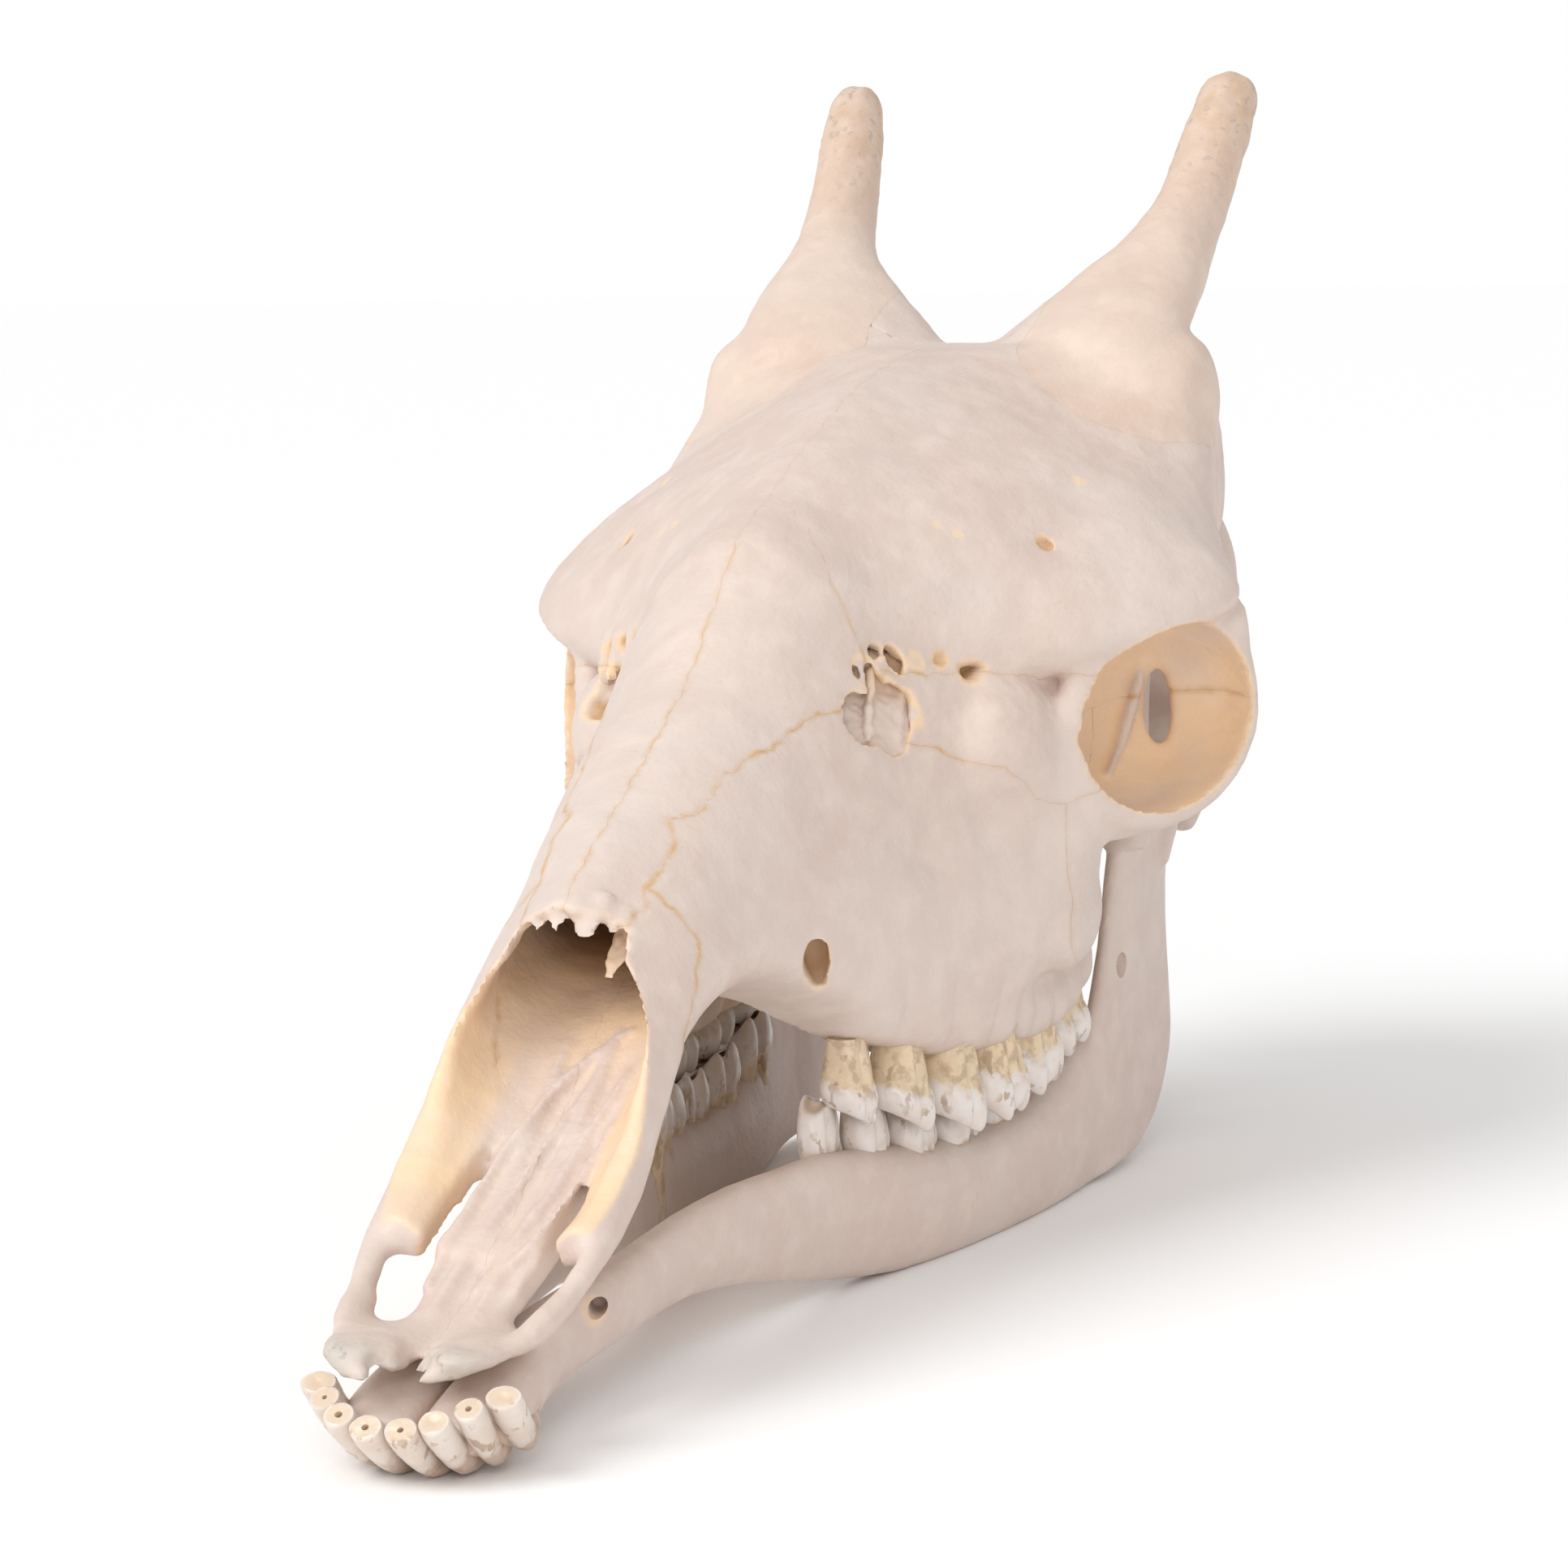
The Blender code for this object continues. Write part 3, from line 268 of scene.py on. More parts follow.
def plane_axes(facing, tilt):
    """The level and the upright direction of a plane, turned in it by tilt degrees."""
    level = Vector((0, 0, 1)).cross(facing).normalized()
    upright = facing.cross(level)
    turn = math.radians(tilt)
    along = level * math.cos(turn) + upright * math.sin(turn)
    up = upright * math.cos(turn) - level * math.sin(turn)
    return along, up


def socket_matrix(centre, facing, half_length, half_height, depth, side=1, tilt=0.0):
    """The matrix of an ellipsoid with its depth along facing."""
    facing = Vector(facing).normalized()
    along, up = plane_axes(facing, tilt)
    frame_of = Matrix((along * half_length, up * half_height, facing * depth)).transposed().to_4x4()
    return Matrix.Diagonal((side, 1, 1, 1)) @ Matrix.Translation(centre) @ frame_of


def framed_blob(name, centre, facing, half_length, half_height, depth, side=1, tilt=0.0):
    """An oval bulb whose depth points along facing."""
    return ball(name, socket_matrix(centre, facing, half_length, half_height, depth, side, tilt))


print("bulbs: a ball of 1 mm through a matrix")

# %% [markdown]
# Bones end along outlines that are known from the side or from above. An outline pushed straight
# through space is the simplest cutter for such an end.

# %% Pushed outlines
def prism(name, outline, low, high, axis):
    """An outline pushed through space: along x it holds (y, z) points, along z it holds (x, y)."""
    rings = []
    for level in (low, high):
        if axis == "x":
            rings.append([(level, a, b) for a, b in outline])
        else:
            rings.append([(a, b, level) for a, b in outline])
    count = len(outline)
    faces = [tuple(range(count - 1, -1, -1)), tuple(range(count, 2 * count))]
    for i in range(count):
        j = (i + 1) % count
        faces.append((i, j, count + j, count + i))
    return shell(name, [p for ring in rings for p in ring], faces)


print("outlines are pushed along x or z")

# %% [markdown]
# Voxels melt overlapping shells into one skin, as a sculptor's clay does. A union of dozens of
# shells by Boolean would leave a hard crease at every meeting; the voxel skin with some
# smoothing after it leaves the soft transitions that bone has.

# %% Melting shells into one skin
def apply(obj):
    """The object's modifiers become part of its mesh."""
    graph = bpy.context.evaluated_depsgraph_get()
    mesh = bpy.data.meshes.new_from_object(obj.evaluated_get(graph))
    obj.modifiers.clear()
    old = obj.data
    obj.data = mesh
    bpy.data.meshes.remove(old)


def melted(name, objects, size, smooth=2):
    """One skin over all the shells, and the shells gone."""
    points = []
    faces = []
    for obj in objects:
        start = len(points)
        points += [tuple(v.co) for v in obj.data.vertices]
        faces += [[start + v for v in face.vertices] for face in obj.data.polygons]
        bpy.data.objects.remove(obj, do_unlink=True)
    mesh = bpy.data.meshes.new(name)
    mesh.from_pydata(points, [], faces)
    made = bpy.data.objects.new(name, mesh)
    WORK.objects.link(made)
    remesh(made, size, smooth)
    return made


def remesh(obj, size, smooth):
    """A new skin of voxels over the object, smoothed in some turns."""
    modifier = obj.modifiers.new("remesh", "REMESH")
    modifier.mode = "VOXEL"
    modifier.voxel_size = size
    if smooth:
        modifier = obj.modifiers.new("smooth", "SMOOTH")
        modifier.factor = 0.5
        modifier.iterations = smooth
    apply(obj)


print("skin size", FINE, "mm")

# %% [markdown]
# The shapes of the holes are melted together in the same way, and one Boolean takes them all
# out at once. What a cut leaves loose is swept away, so that each bone stays one closed piece.

# %% Cutting
def boolean(obj, other, operation):
    """Cuts or joins the object with another one, which is used up."""
    modifier = obj.modifiers.new("boolean", "BOOLEAN")
    modifier.operation = operation
    modifier.object = other
    modifier.solver = "MANIFOLD"
    apply(obj)
    bpy.data.objects.remove(other, do_unlink=True)


def keep_largest(obj):
    """Only the piece with the most vertices stays."""
    shape = bmesh.new()
    shape.from_mesh(obj.data)
    shape.verts.ensure_lookup_table()
    group_of = [-1] * len(shape.verts)
    sizes = []
    for start in shape.verts:
        if group_of[start.index] >= 0:
            continue
        group_of[start.index] = len(sizes)
        front = [start]
        size = 0
        while front:
            vert = front.pop()
            size += 1
            for edge in vert.link_edges:
                other = edge.other_vert(vert)
                if group_of[other.index] < 0:
                    group_of[other.index] = len(sizes)
                    front.append(other)
        sizes.append(size)
    largest = sizes.index(max(sizes))
    stray = [vert for vert in shape.verts if group_of[vert.index] != largest]
    bmesh.ops.delete(shape, geom=stray, context="VERTS")
    shape.to_mesh(obj.data)
    shape.free()
    obj.data.update()


print("cuts are exact, and loose crumbs are dropped")

# %% [markdown]
# The long face is one loft from the incisive bones to the back of the palate. Each row is one
# section: its place along the skull, half width, widest level, top, bottom and the roundness of
# its upper and lower half. In front the section is low and flat, behind the nose it is peaked
# like a roof, and over the teeth it is high with nearly straight walls.

# %% The long face
FACE = [
    (76, 32, 5, 16, -2, 2.2, 2.4),
    (90, 33, 12, 28, 3, 2.2, 2.4),
    (100, 32.6, 20, 40, 7, 2.2, 2.4),
    (114, 31, 34, 62, 14, 2.0, 2.6),
    (128, 30.5, 47, 80, 22, 1.5, 2.8),
    (143, 31, 57, 90, 34, 1.35, 2.8),
    (157, 32.5, 61, 97, 43, 1.5, 2.8),
    (172, 34.5, 62, 103, 48, 1.85, 2.8),
    (187, 36.8, 60, 110, 47, 2.05, 2.8),
    (205, 41.5, 55, 118, 41, 2.2, 3.0),
    (226, 46.5, 48, 130, 27, 2.1, 3.4),
    (246, 52, 43, 147, 17, 1.9, 4.0),
    (265, 57.5, 40, 162, 10, 1.8, 4.0),
    (288, 66, 42, 166, 5, 1.8, 3.8),
    (308, 75, 62, 160, 1, 1.8, 2.8),
    (330, 82, 76, 150, -1, 1.8, 2.4),
    (348, 78, 74, 138, -1, 1.8, 2.4),
    (364, 66, 60, 118, 5, 1.9, 2.6),
    (384, 48, 54, 106, 22, 2.0, 2.4),
    (410, 34, 62, 100, 38, 2.0, 2.0),
]
print("face:", len(FACE), "sections,", FACE[-1][0] - FACE[0][0], "mm long")

# %% [markdown]
# The forehead of a giraffe is broad and full of air, and hides the small braincase behind and
# below it. Both are lofts of their own that overlap the face.

# %% Forehead and braincase
FOREHEAD = [
    (262, 30, 132, 161, 112, 1.8, 2.0),
    (288, 46, 126, 170, 105, 1.5, 2.0),
    (310, 68, 122, 178, 102, 1.35, 2.0),
    (330, 92, 122, 184, 105, 1.25, 2.0),
    (350, 107, 124, 190, 109, 1.22, 2.0),
    (372, 115, 127, 194, 113, 1.28, 2.0),
    (385, 110.5, 129, 195.5, 113, 1.35, 2.0),
    (400, 102.5, 134, 197, 114, 1.48, 2.1),
    (415, 95, 140, 197.5, 113, 1.85, 2.3),
    (430, 89.5, 146, 197, 112, 2.8, 2.6),
    (447, 85, 148, 196, 110, 3.8, 3.0),
    (465, 81, 150, 193, 110, 3.8, 3.0),
    (482, 75, 150, 186, 108, 3.0, 3.0),
    (497, 64, 145, 174, 105, 2.5, 2.5),
]
BRAINCASE = [
    (372, 44, 100, 150, 66, 2.0, 2.0),
    (400, 50, 104, 165, 60, 2.0, 2.0),
    (430, 56, 108, 182, 55, 2.1, 2.0),
    (460, 60, 108, 186, 50, 2.1, 2.0),
    (485, 60, 104, 178, 47, 2.1, 2.0),
    (505, 60, 99, 166, 46, 2.1, 2.1),
    (522, 61, 94, 154, 46, 2.1, 2.2),
    (534, 60, 92, 144, 48, 2.1, 2.2),
    (541, 52, 90, 132, 54, 2.0, 2.2),
    (545, 34, 88, 114, 62, 2.0, 2.0),
]
print("forehead:", len(FOREHEAD), "sections, braincase:", len(BRAINCASE))

# %% [markdown]
# Bars carry the base of the skull, the crest at the nape where the neck muscles hold, and the
# ridge that holds the roots of the cheek teeth. Rods and bulbs add the seat of the jaw's joint,
# the ear, the knuckles that meet the neck and the other knobs of the underside.

# %% Base, nape and tooth ridge
SKULL_BASE = [(0, 385, 54), (0, 430, 46), (0, 480, 46), (0, 515, 50), (0, 540, 56)]
SKULL_BASE_RADII = [13, 14, 16, 17, 13]
NAPE_CREST = [
    (-62, 522, 92), (-57, 528, 118), (-36, 530, 142), (0, 528, 152), (36, 530, 142),
    (57, 528, 118), (62, 522, 92),
]
NAPE_CREST_RADII = [4.5, 5.5, 6.5, 7.5, 6.5, 5.5, 4.5]
OUTER_RIDGE = [(0, 520, 150), (0, 536, 130), (0, 540, 108)]
OUTER_RIDGE_RADII = [9, 8, 5]
TOOTH_RIDGE = [
    (35, 236, 31), (43, 257, 24), (50, 281, 18), (54, 306, 14), (55, 333, 11), (55, 358, 13),
    (55, 374, 20),
]
TOOTH_RIDGE_RADII = [9, 10, 11, 11, 11, 10.5, 9]
JAW_SEAT = ([(50, 452, 78), (68, 447, 77), (84, 440, 79)], [17, 14, 9])
EAR = ([(50, 478, 72), (64, 480, 76), (72, 482, 80)], [13, 10, 8])
MASTOID = ([(60, 498, 98), (60, 512, 78), (54, 520, 58)], [11, 12, 11])
PARACONDYLAR = ([(44, 520, 66), (45, 525, 44), (42, 524, 22)], [10, 7.5, 4])
PTERYGOID = ([(17, 380, 40), (18, 404, 26), (17, 412, 14)], [8, 6, 4])
print("nape crest:", NAPE_CREST[-1][0] - NAPE_CREST[0][0], "mm wide")

# %% [markdown]
# In front the upper jaw has no teeth: the two incisive bones run forward as thin bars, flare
# into flat tips and carry a pair of bars along the middle, with a slot left on each side.

# %% The incisive bones
PREMAXILLA_BAR = [
    (28.5, 136, 46), (29, 118, 30), (30, 104, 17), (30.5, 90, 9), (30.3, 76, 4), (29, 62, -3),
    (26, 46, -8.5),
]
PREMAXILLA_BAR_RADII = [4.2, 3.8, 3.7, 3.9, 4.1, 4.2, 4.2]
PREMAXILLA_EDGE = [(26, 62, -6), (25.5, 46, -8.5), (21, 33, -10.5), (14, 24, -12), (6, 21, -13)]
PREMAXILLA_EDGE_RADII = [3.8, 3.8, 3.6, 3.4, 3.0]
MEDIAN_BAR = [
    (4.5, 27, -13), (5.5, 44, -13), (7, 64, -8), (7.5, 84, 1), (7.5, 104, 11), (8, 130, 25),
    (8, 160, 42), (8, 190, 47),
]
MEDIAN_BAR_RADII = [3.2, 5.4, 7.6, 8.0, 8.0, 7.6, 7.0, 7.0]
print("tips of the incisive bones reach y =", PREMAXILLA_EDGE[-1][1])

# %% [markdown]
# The eye socket is a ring of bone that stands out sideways from a cup. The ring is a closed rod
# round an ellipse, which lies in a plane turned outwards and forwards. The cheek arch leaves it
# below and runs back to the seat of the jaw, and a post closes the ring behind.

# %% Eye socket and cheek arch
ORBIT_CENTRE = Vector((97, 352, 95))
ORBIT_FACING = Vector((0.88, -0.47, 0.10)).normalized()
ORBIT_HALF_LENGTH = 35.5
ORBIT_HALF_HEIGHT = 28.0
ORBIT_DEPTH = 35.0
ORBIT_TILT = 10.0
ORBIT_RIM = 4.0
ORBIT_RIM_POINTS = 16
ORBIT_CUP_SET_BACK = 12.0
ORBIT_CUP_RADII = (38.0, 31.0, 29.0)
ORBIT_OPENING = [(86.5, 377, 92), (79, 396, 90)]
ORBIT_OPENING_RADII = [3.4, 4.2]
CHEEK = [(72, 320, 67), (78.5, 331, 65.5), (87, 346, 63), (95, 360, 65.5), (100, 373, 72)]
CHEEK_RADII = [8, 6, 5, 4.8, 4.8]
ARCH = [(99.5, 376, 75), (100, 392, 79), (96, 412, 82), (89, 432, 82), (77, 450, 80), (62, 460, 80)]
ARCH_RADII = [5.5, 6, 6, 7, 9, 12]
POSTORBITAL = [(107, 382, 122), (107.5, 389, 107), (105, 390, 93), (101, 385, 79)]
POSTORBITAL_RADII = [7, 5.2, 5.0, 5.5]


def orbit_rim(side):
    """The ring round one eye socket."""
    along, up = plane_axes(ORBIT_FACING, ORBIT_TILT)
    path = []
    radii = []
    for i in range(ORBIT_RIM_POINTS):
        turn = 2 * math.pi * i / ORBIT_RIM_POINTS
        reach = ORBIT_RIM * 0.5
        point = ORBIT_CENTRE - ORBIT_FACING * (ORBIT_RIM * 0.7)
        point = point + along * ((ORBIT_HALF_LENGTH + reach) * math.cos(turn))
        point = point + up * ((ORBIT_HALF_HEIGHT + reach) * math.sin(turn))
        path.append(tuple(point))
        radii.append(ORBIT_RIM)
    return tube("orbit_rim", path, radii, side, steps=2, loop=True)


print("eye socket:", 2 * ORBIT_HALF_LENGTH, "by", 2 * ORBIT_HALF_HEIGHT, "mm")

# %% [markdown]
# The two horns of a giraffe are bones of their own that fuse to the skull. They start as broad
# flat feet, narrow quickly and end in a blunt knob. One rod with a changing radius and flatness
# makes foot and shaft together; both lean a little to the animal's right, as the real ones do.

# %% The horns
OSSICONE_AXIS = [
    (40, 446, 184), (45, 455, 194), (50.3, 466, 203), (55, 480, 211.5), (58.8, 495, 222),
    (61.7, 513, 237.7), (64, 527, 253.5), (65.5, 536, 264.3),
]
OSSICONE_RADII = [40, 34, 27, 19.5, 13.3, 11, 10.2, 9.2]
OSSICONE_LEAN = 1.1
OSSICONE_FLAT = [0.55, 0.52, 0.55, 0.72, 0.95, 1.0, 1.0, 1.0]
OSSICONE_FOOT = (62, 436, 190)
OSSICONE_FOOT_RADIUS = 36.0


def ossicone_path(side):
    """The axis of one ossicone; both lean a little to the animal's right."""
    last = len(OSSICONE_AXIS) - 1
    return [(x - side * OSSICONE_LEAN * i / last, y, z) for i, (x, y, z) in enumerate(OSSICONE_AXIS)]


print("horn:", len(OSSICONE_AXIS), "points along its axis, knob", 2 * OSSICONE_RADII[-1], "mm wide")

# %% [markdown]
# All shells of the upper skull together. The paired ones are made in a loop, once for the left
# side and once, mirrored, for the right.

# %% All shells of the upper skull
def cranium_shells():
    """Every shell of the upper skull, still apart."""
    shells = [
        loft("face", FACE),
        loft("forehead", FOREHEAD),
        loft("braincase", BRAINCASE),
        tube("skull_base", SKULL_BASE, SKULL_BASE_RADII),
        tube("nape_crest", NAPE_CREST, NAPE_CREST_RADII, flat=1.3),
        tube("outer_ridge", OUTER_RIDGE, OUTER_RIDGE_RADII),
    ]
    cup_centre = ORBIT_CENTRE - ORBIT_FACING * ORBIT_CUP_SET_BACK
    for side in (1, -1):
        shells += [
            orbit_rim(side),
            framed_blob(
                "orbit_cup", cup_centre, ORBIT_FACING, *ORBIT_CUP_RADII, side=side, tilt=ORBIT_TILT
            ),
            tube("cheek", CHEEK, CHEEK_RADII, side),
            tube("arch", ARCH, ARCH_RADII, side),
            tube("postorbital", POSTORBITAL, POSTORBITAL_RADII, side),
            tube("premaxilla_bar", PREMAXILLA_BAR, PREMAXILLA_BAR_RADII, side),
            tube("premaxilla_edge", PREMAXILLA_EDGE, PREMAXILLA_EDGE_RADII, side, flat=0.8),
            blob("premaxilla_plate", (15, 42, -10.5), (12.5, 22, 3.4), side, turn=(-8, 0, 0)),
            tube("median_bar", MEDIAN_BAR, MEDIAN_BAR_RADII, side, flat=0.6),
            tube("jaw_seat", *JAW_SEAT, side, flat=0.75),
            tube("ear", *EAR, side),
            tube("mastoid", *MASTOID, side),
            blob("bulla", (33, 482, 40), (10, 17, 13), side, turn=(-15, 0, -12)),
            blob("condyle", (18, 542, 64), (12, 12, 17), side, turn=(18, 0, 14)),
            tube("paracondylar", *PARACONDYLAR, side, flat=1.3),
            tube("pterygoid", *PTERYGOID, side),
            blob("facial_tuber", (68, 334, 38), (12, 26, 16), side, turn=(12, 0, 12)),
            tube("tooth_ridge", TOOTH_RIDGE, TOOTH_RIDGE_RADII, side),
            blob("lacrimal", (58, 312, 92), (18, 26, 22), side),
            tube("ossicone", ossicone_path(side), OSSICONE_RADII, side, sides=16, flat=OSSICONE_FLAT),
            blob("ossicone_bulge", (76, 446, 178), (9.5, 20, 20), side),
            blob("knob", ossicone_path(side)[-1], (OSSICONE_RADII[-1],) * 3, side),
        ]
    return shells


upper_shells = cranium_shells()
print("upper skull:", len(upper_shells), "shells")

# %% [markdown]
# Melting leaves a faint crease where a horn's foot runs flat into the forehead. More smoothing
# everywhere would wash out the rim of the eye socket, so a vertex group limits the extra
# smoothing to the creases.

# %% Melting the upper skull
def places_of(obj, what="co"):
    """The places, or the normals, of all vertices as rows of three numbers."""
    found = np.empty(len(obj.data.vertices) * 3, np.float32)
    obj.data.vertices.foreach_get(what, found)
    return found.reshape(-1, 3).astype(float)


def soften(obj, middle, reach, turns):
    """Extra smoothing round one place, on both sides."""
    places = places_of(obj)
    offsets = (np.abs(places[:, 0]) - middle[0], places[:, 1] - middle[1], places[:, 2] - middle[2])
    apart = np.linalg.norm(offsets, axis=0)
    near = np.clip(1.6 - apart / reach, 0, 1)
    group = obj.vertex_groups.new(name="soft")
    for level in range(1, 11):
        chosen = np.nonzero(np.round(near * 10) == level)[0].tolist()
        if chosen:
            group.add(chosen, level / 10, "REPLACE")
    modifier = obj.modifiers.new("soften", "SMOOTH")
    modifier.factor = 0.5
    modifier.iterations = turns
    modifier.vertex_group = "soft"
    apply(obj)


# Turns of smoothing for a skin of 1 mm; a coarser skin needs fewer for the same softness.
SMOOTH_TURNS = 70
CREASE_TURNS = 260
HORN_CREASE = (57, 425.5, 192.5)
HORN_CREASE_REACH = 20
cranium = melted("cranium", upper_shells, FINE, round(SMOOTH_TURNS / FINE**2))
soften(cranium, HORN_CREASE, HORN_CREASE_REACH, round(CREASE_TURNS / FINE**2))
print("upper skull:", len(cranium.data.polygons), "faces before the holes")

# %% [markdown]
# The nose is hollow and the roof of the mouth is a vault. Both hollows are lofts, as the face
# is, and the open front of the nose is cut along its rim as the side view shows it.

# %% The hollow nose and the roof of the mouth
NASAL_CAVITY = [
    (58, 25.5, 20, 72, -5, 2.4, 2.4),
    (75, 27.5, 24, 76, 3, 2.4, 2.4),
    (90, 28.2, 30, 80, 9, 2.4, 2.4),
    (112, 27, 44, 82, 21, 2.2, 2.4),
    (128, 26, 50, 77, 30, 1.6, 2.4),
    (143, 26.5, 59, 86, 41, 1.4, 2.4),
    (160, 28, 64, 93, 50, 1.6, 2.4),
    (180, 30.5, 68, 102, 56, 1.9, 2.4),
    (205, 35.5, 70, 112, 54, 2.1, 2.4),
    (228, 40, 76, 124, 48, 2.0, 2.4),
    (250, 44, 78, 140, 50, 1.9, 2.2),
    (272, 49, 80, 150, 54, 1.8, 2.0),
    (292, 50, 84, 150, 60, 1.8, 2.0),
    (306, 38, 90, 136, 72, 1.8, 2.0),
]
PALATE_VAULT = [
    (186, 18, -10, 44, -60, 2.2, 2.2),
    (205, 26, -10, 44, -60, 2.2, 2.2),
    (226, 31, -10, 42, -60, 2.2, 2.2),
    (260, 34, -10, 38, -60, 2.2, 2.2),
    (300, 39, -10, 34, -60, 2.2, 2.2),
    (340, 40, -10, 32, -60, 2.2, 2.2),
    (372, 38, -10, 33, -60, 2.2, 2.2),
    (396, 26, -10, 44, -60, 2.2, 2.2),
]
NASAL_RIM = [
    (131, 84), (132, 80), (138, 77), (130, 69.5), (124, 60), (120, 51), (115, 43), (110, 36),
    (105, 30), (100, 25), (90, 18), (80, 13), (70, 7.5),
]
NOSE_FRONT = NASAL_RIM + [(50, 4), (50, 130), (131, 130)]
print("the nose is open from y =", NASAL_RIM[-1][0], "to", NASAL_RIM[0][0])

# %% [markdown]
# Holes let nerves and vessels through: below the eye, in the floor of the nose, behind the eye,
# in the forehead and at the ear. Each is a rod that is cut away, flattened where the real hole
# is a slit.

# %% Holes for nerves and vessels
CHOANA = ((0, 392, 44), (9, 26, 15))
FORAMEN_MAGNUM = ([(0, 500, 82), (0, 530, 80), (0, 570, 76)], [12, 14, 16])
INFRAORBITAL = ([(47, 196, 50), (40, 209, 51), (34, 224, 52)], [3.6, 3.6, 3.2])
LOWER_INFRAORBITAL = ([(46, 200, 43), (40, 210, 44), (36, 220, 46)], [2.0, 2.0, 1.6])
FISSURE = ([(15.0, 60, -9), (17.4, 75, -2), (17.8, 93, 8), (15.0, 116, 21)], [1.5, 2.7, 2.6, 1.3])
TEMPORAL_GAP = ([(84, 402, 94), (81, 416, 98), (77, 432, 102)], [13.5, 16.5, 15])
OPTIC = ([(70, 392, 92), (58, 408, 88), (50, 424, 84)], [6, 6, 5])
EAR_CANAL = ([(80, 486, 82), (66, 480, 77), (56, 477, 74)], [3.4, 3.2, 2.6])
# Small vessel holes of the forehead: a place and a radius.
VESSELS = [(66.5, 337, 147, 2.2), (68, 366, 163, 1.2), (42, 314, 157, 0.9), (47.5, 316, 154, 1.0)]
print("vessel holes in the forehead on each side:", len(VESSELS))

# %% [markdown]
# Bone breaks and wears in a ragged way. Smooth random numbers that come from a place and a seed
# alone are the same at every run, and pushing the skin of a cutter by them roughens the edge
# that it leaves. A texture and a Displace modifier would do it too, but numbers in the script
# can also drive the relief, the sutures and the colours.

# %% Smooth random numbers
def noise(points, size, seed):
    """Smooth random numbers from -1 to 1 that change over about size millimetres."""
    q = np.asarray(points, float) / size + 500.0 + 13.7 * seed
    base = np.floor(q).astype(np.int64)
    part = q - base
    part = part * part * (3 - 2 * part)
    total = np.zeros(len(q))
    for corner in range(8):
        step = np.array([corner & 1, (corner >> 1) & 1, (corner >> 2) & 1])
        key = (base + step) * np.array([73856093, 19349663, 83492791])
        key = key[:, 0] ^ key[:, 1] ^ key[:, 2] ^ (seed * 2654435)
        key = ((key ^ (key >> 13)) * 1274126177) & 0x7FFFFFFF
        value = (key % 10007) / 5003.5 - 1
        weight = np.prod(np.where(step, part, 1 - part), axis=1)
        total += value * weight
    return total


def set_places(obj, places):
    """Moves every vertex to its row of places."""
    obj.data.vertices.foreach_set("co", places.astype(np.float32).ravel())
    obj.data.update()


def roughened(obj, size, amount, seed):
    """The object with its skin pushed in and out by smooth random numbers."""
    places = places_of(obj)
    set_places(obj, places + places_of(obj, "normal") * (noise(places, size, seed) * amount)[:, None])
    return obj


def bell(places, middle, reach):
    """1 at the middle and less with distance. x counts on both sides; None leaves it out."""
    total = 0.0
    for axis, (centre, size) in enumerate(zip(middle, reach)):
        if centre is not None:
            along = np.abs(places[:, axis]) if axis == 0 else places[:, axis]
            total = total + ((along - centre) / size) ** 2
    return np.exp(-total)


print("noise at the origin:", noise([(0, 0, 0)], 10, 1).round(3))

# %% [markdown]
# In front of each eye the giraffe's face has a gap that is closed by skin in life. Its edge is
# scalloped, small pits lie beside it, and slivers of bone stand in it. The gaps of the two
# sides differ, so each has its own list.

# %% The gaps in front of the eyes
# Bulbs that are cut away: centre and radii, for the left (1) and the right (-1).
EYE_GAP = {
    1: [
        ((39, 254, 110.5), (7, 7.5, 8)), ((43, 266, 111.5), (8, 9, 9)),
        ((46.5, 262, 105), (8, 7, 6)), ((36.5, 263, 122), (5, 4.5, 5.5)),
        ((39.8, 276.5, 123), (5, 3.6, 5)), ((42.8, 284, 121.5), (4, 2.6, 3.4)),
        ((37.5, 270.5, 127.2), (5, 3, 2.2)), ((44.5, 275, 108), (5, 3.4, 7)),
    ],
    -1: [
        ((43, 264, 112), (8, 12, 6)), ((56, 298, 112.5), (8, 5.5, 5)),
        ((60, 293, 105.5), (8, 5, 4.5)),
    ],
}
# Small pits beside the gaps: a place on the surface, the way out, and the radius.
EYE_PITS = {
    1: [
        ((55.4, 298.4, 116.4), (0.82, -0.51, 0.26), 3.3),
        ((57.6, 301.5, 117.4), (0.7, -0.7, -0.15), 1.8),
        ((49.4, 291.6, 121.2), (0.81, -0.59, 0.09), 2.1),
    ],
    -1: [
        ((64.4, 307.5, 119.5), (0.64, -0.75, -0.17), 2.0),
        ((58, 301, 121.5), (0.68, -0.72, -0.1), 2.2),
        ((51.5, 294.6, 124.5), (0.72, -0.69, 0.08), 2.2),
        ((44, 285, 128.5), (0.8, -0.55, 0.2), 1.9),
        ((56.5, 298, 113), (0.67, -0.52, 0.53), 3.6),
        ((60.5, 293.4, 106), (0.4, -0.66, 0.64), 3.0),
    ],
}
# Slivers of bone left standing in those gaps, from rim to tip.
SLIVERS = {
    1: [
        [(34.5, 266, 129), (36.5, 262.5, 122), (38.2, 259.5, 116.5), (38.4, 256, 111.5)],
        [(38.5, 272, 126), (39.5, 270.5, 121), (40, 269, 117.5)],
        [(43, 286.5, 125), (44.5, 280.5, 117), (46.5, 275, 108), (48, 270, 101)],
    ],
    -1: [
        [(61, 305, 125), (62, 303, 118), (61, 300, 112)],
        [(54, 298, 127), (56, 297, 119), (57, 294, 113)],
    ],
}
print("left gap:", len(EYE_GAP[1]), "bulbs,", len(EYE_PITS[1]), "pits,", len(SLIVERS[1]), "slivers")

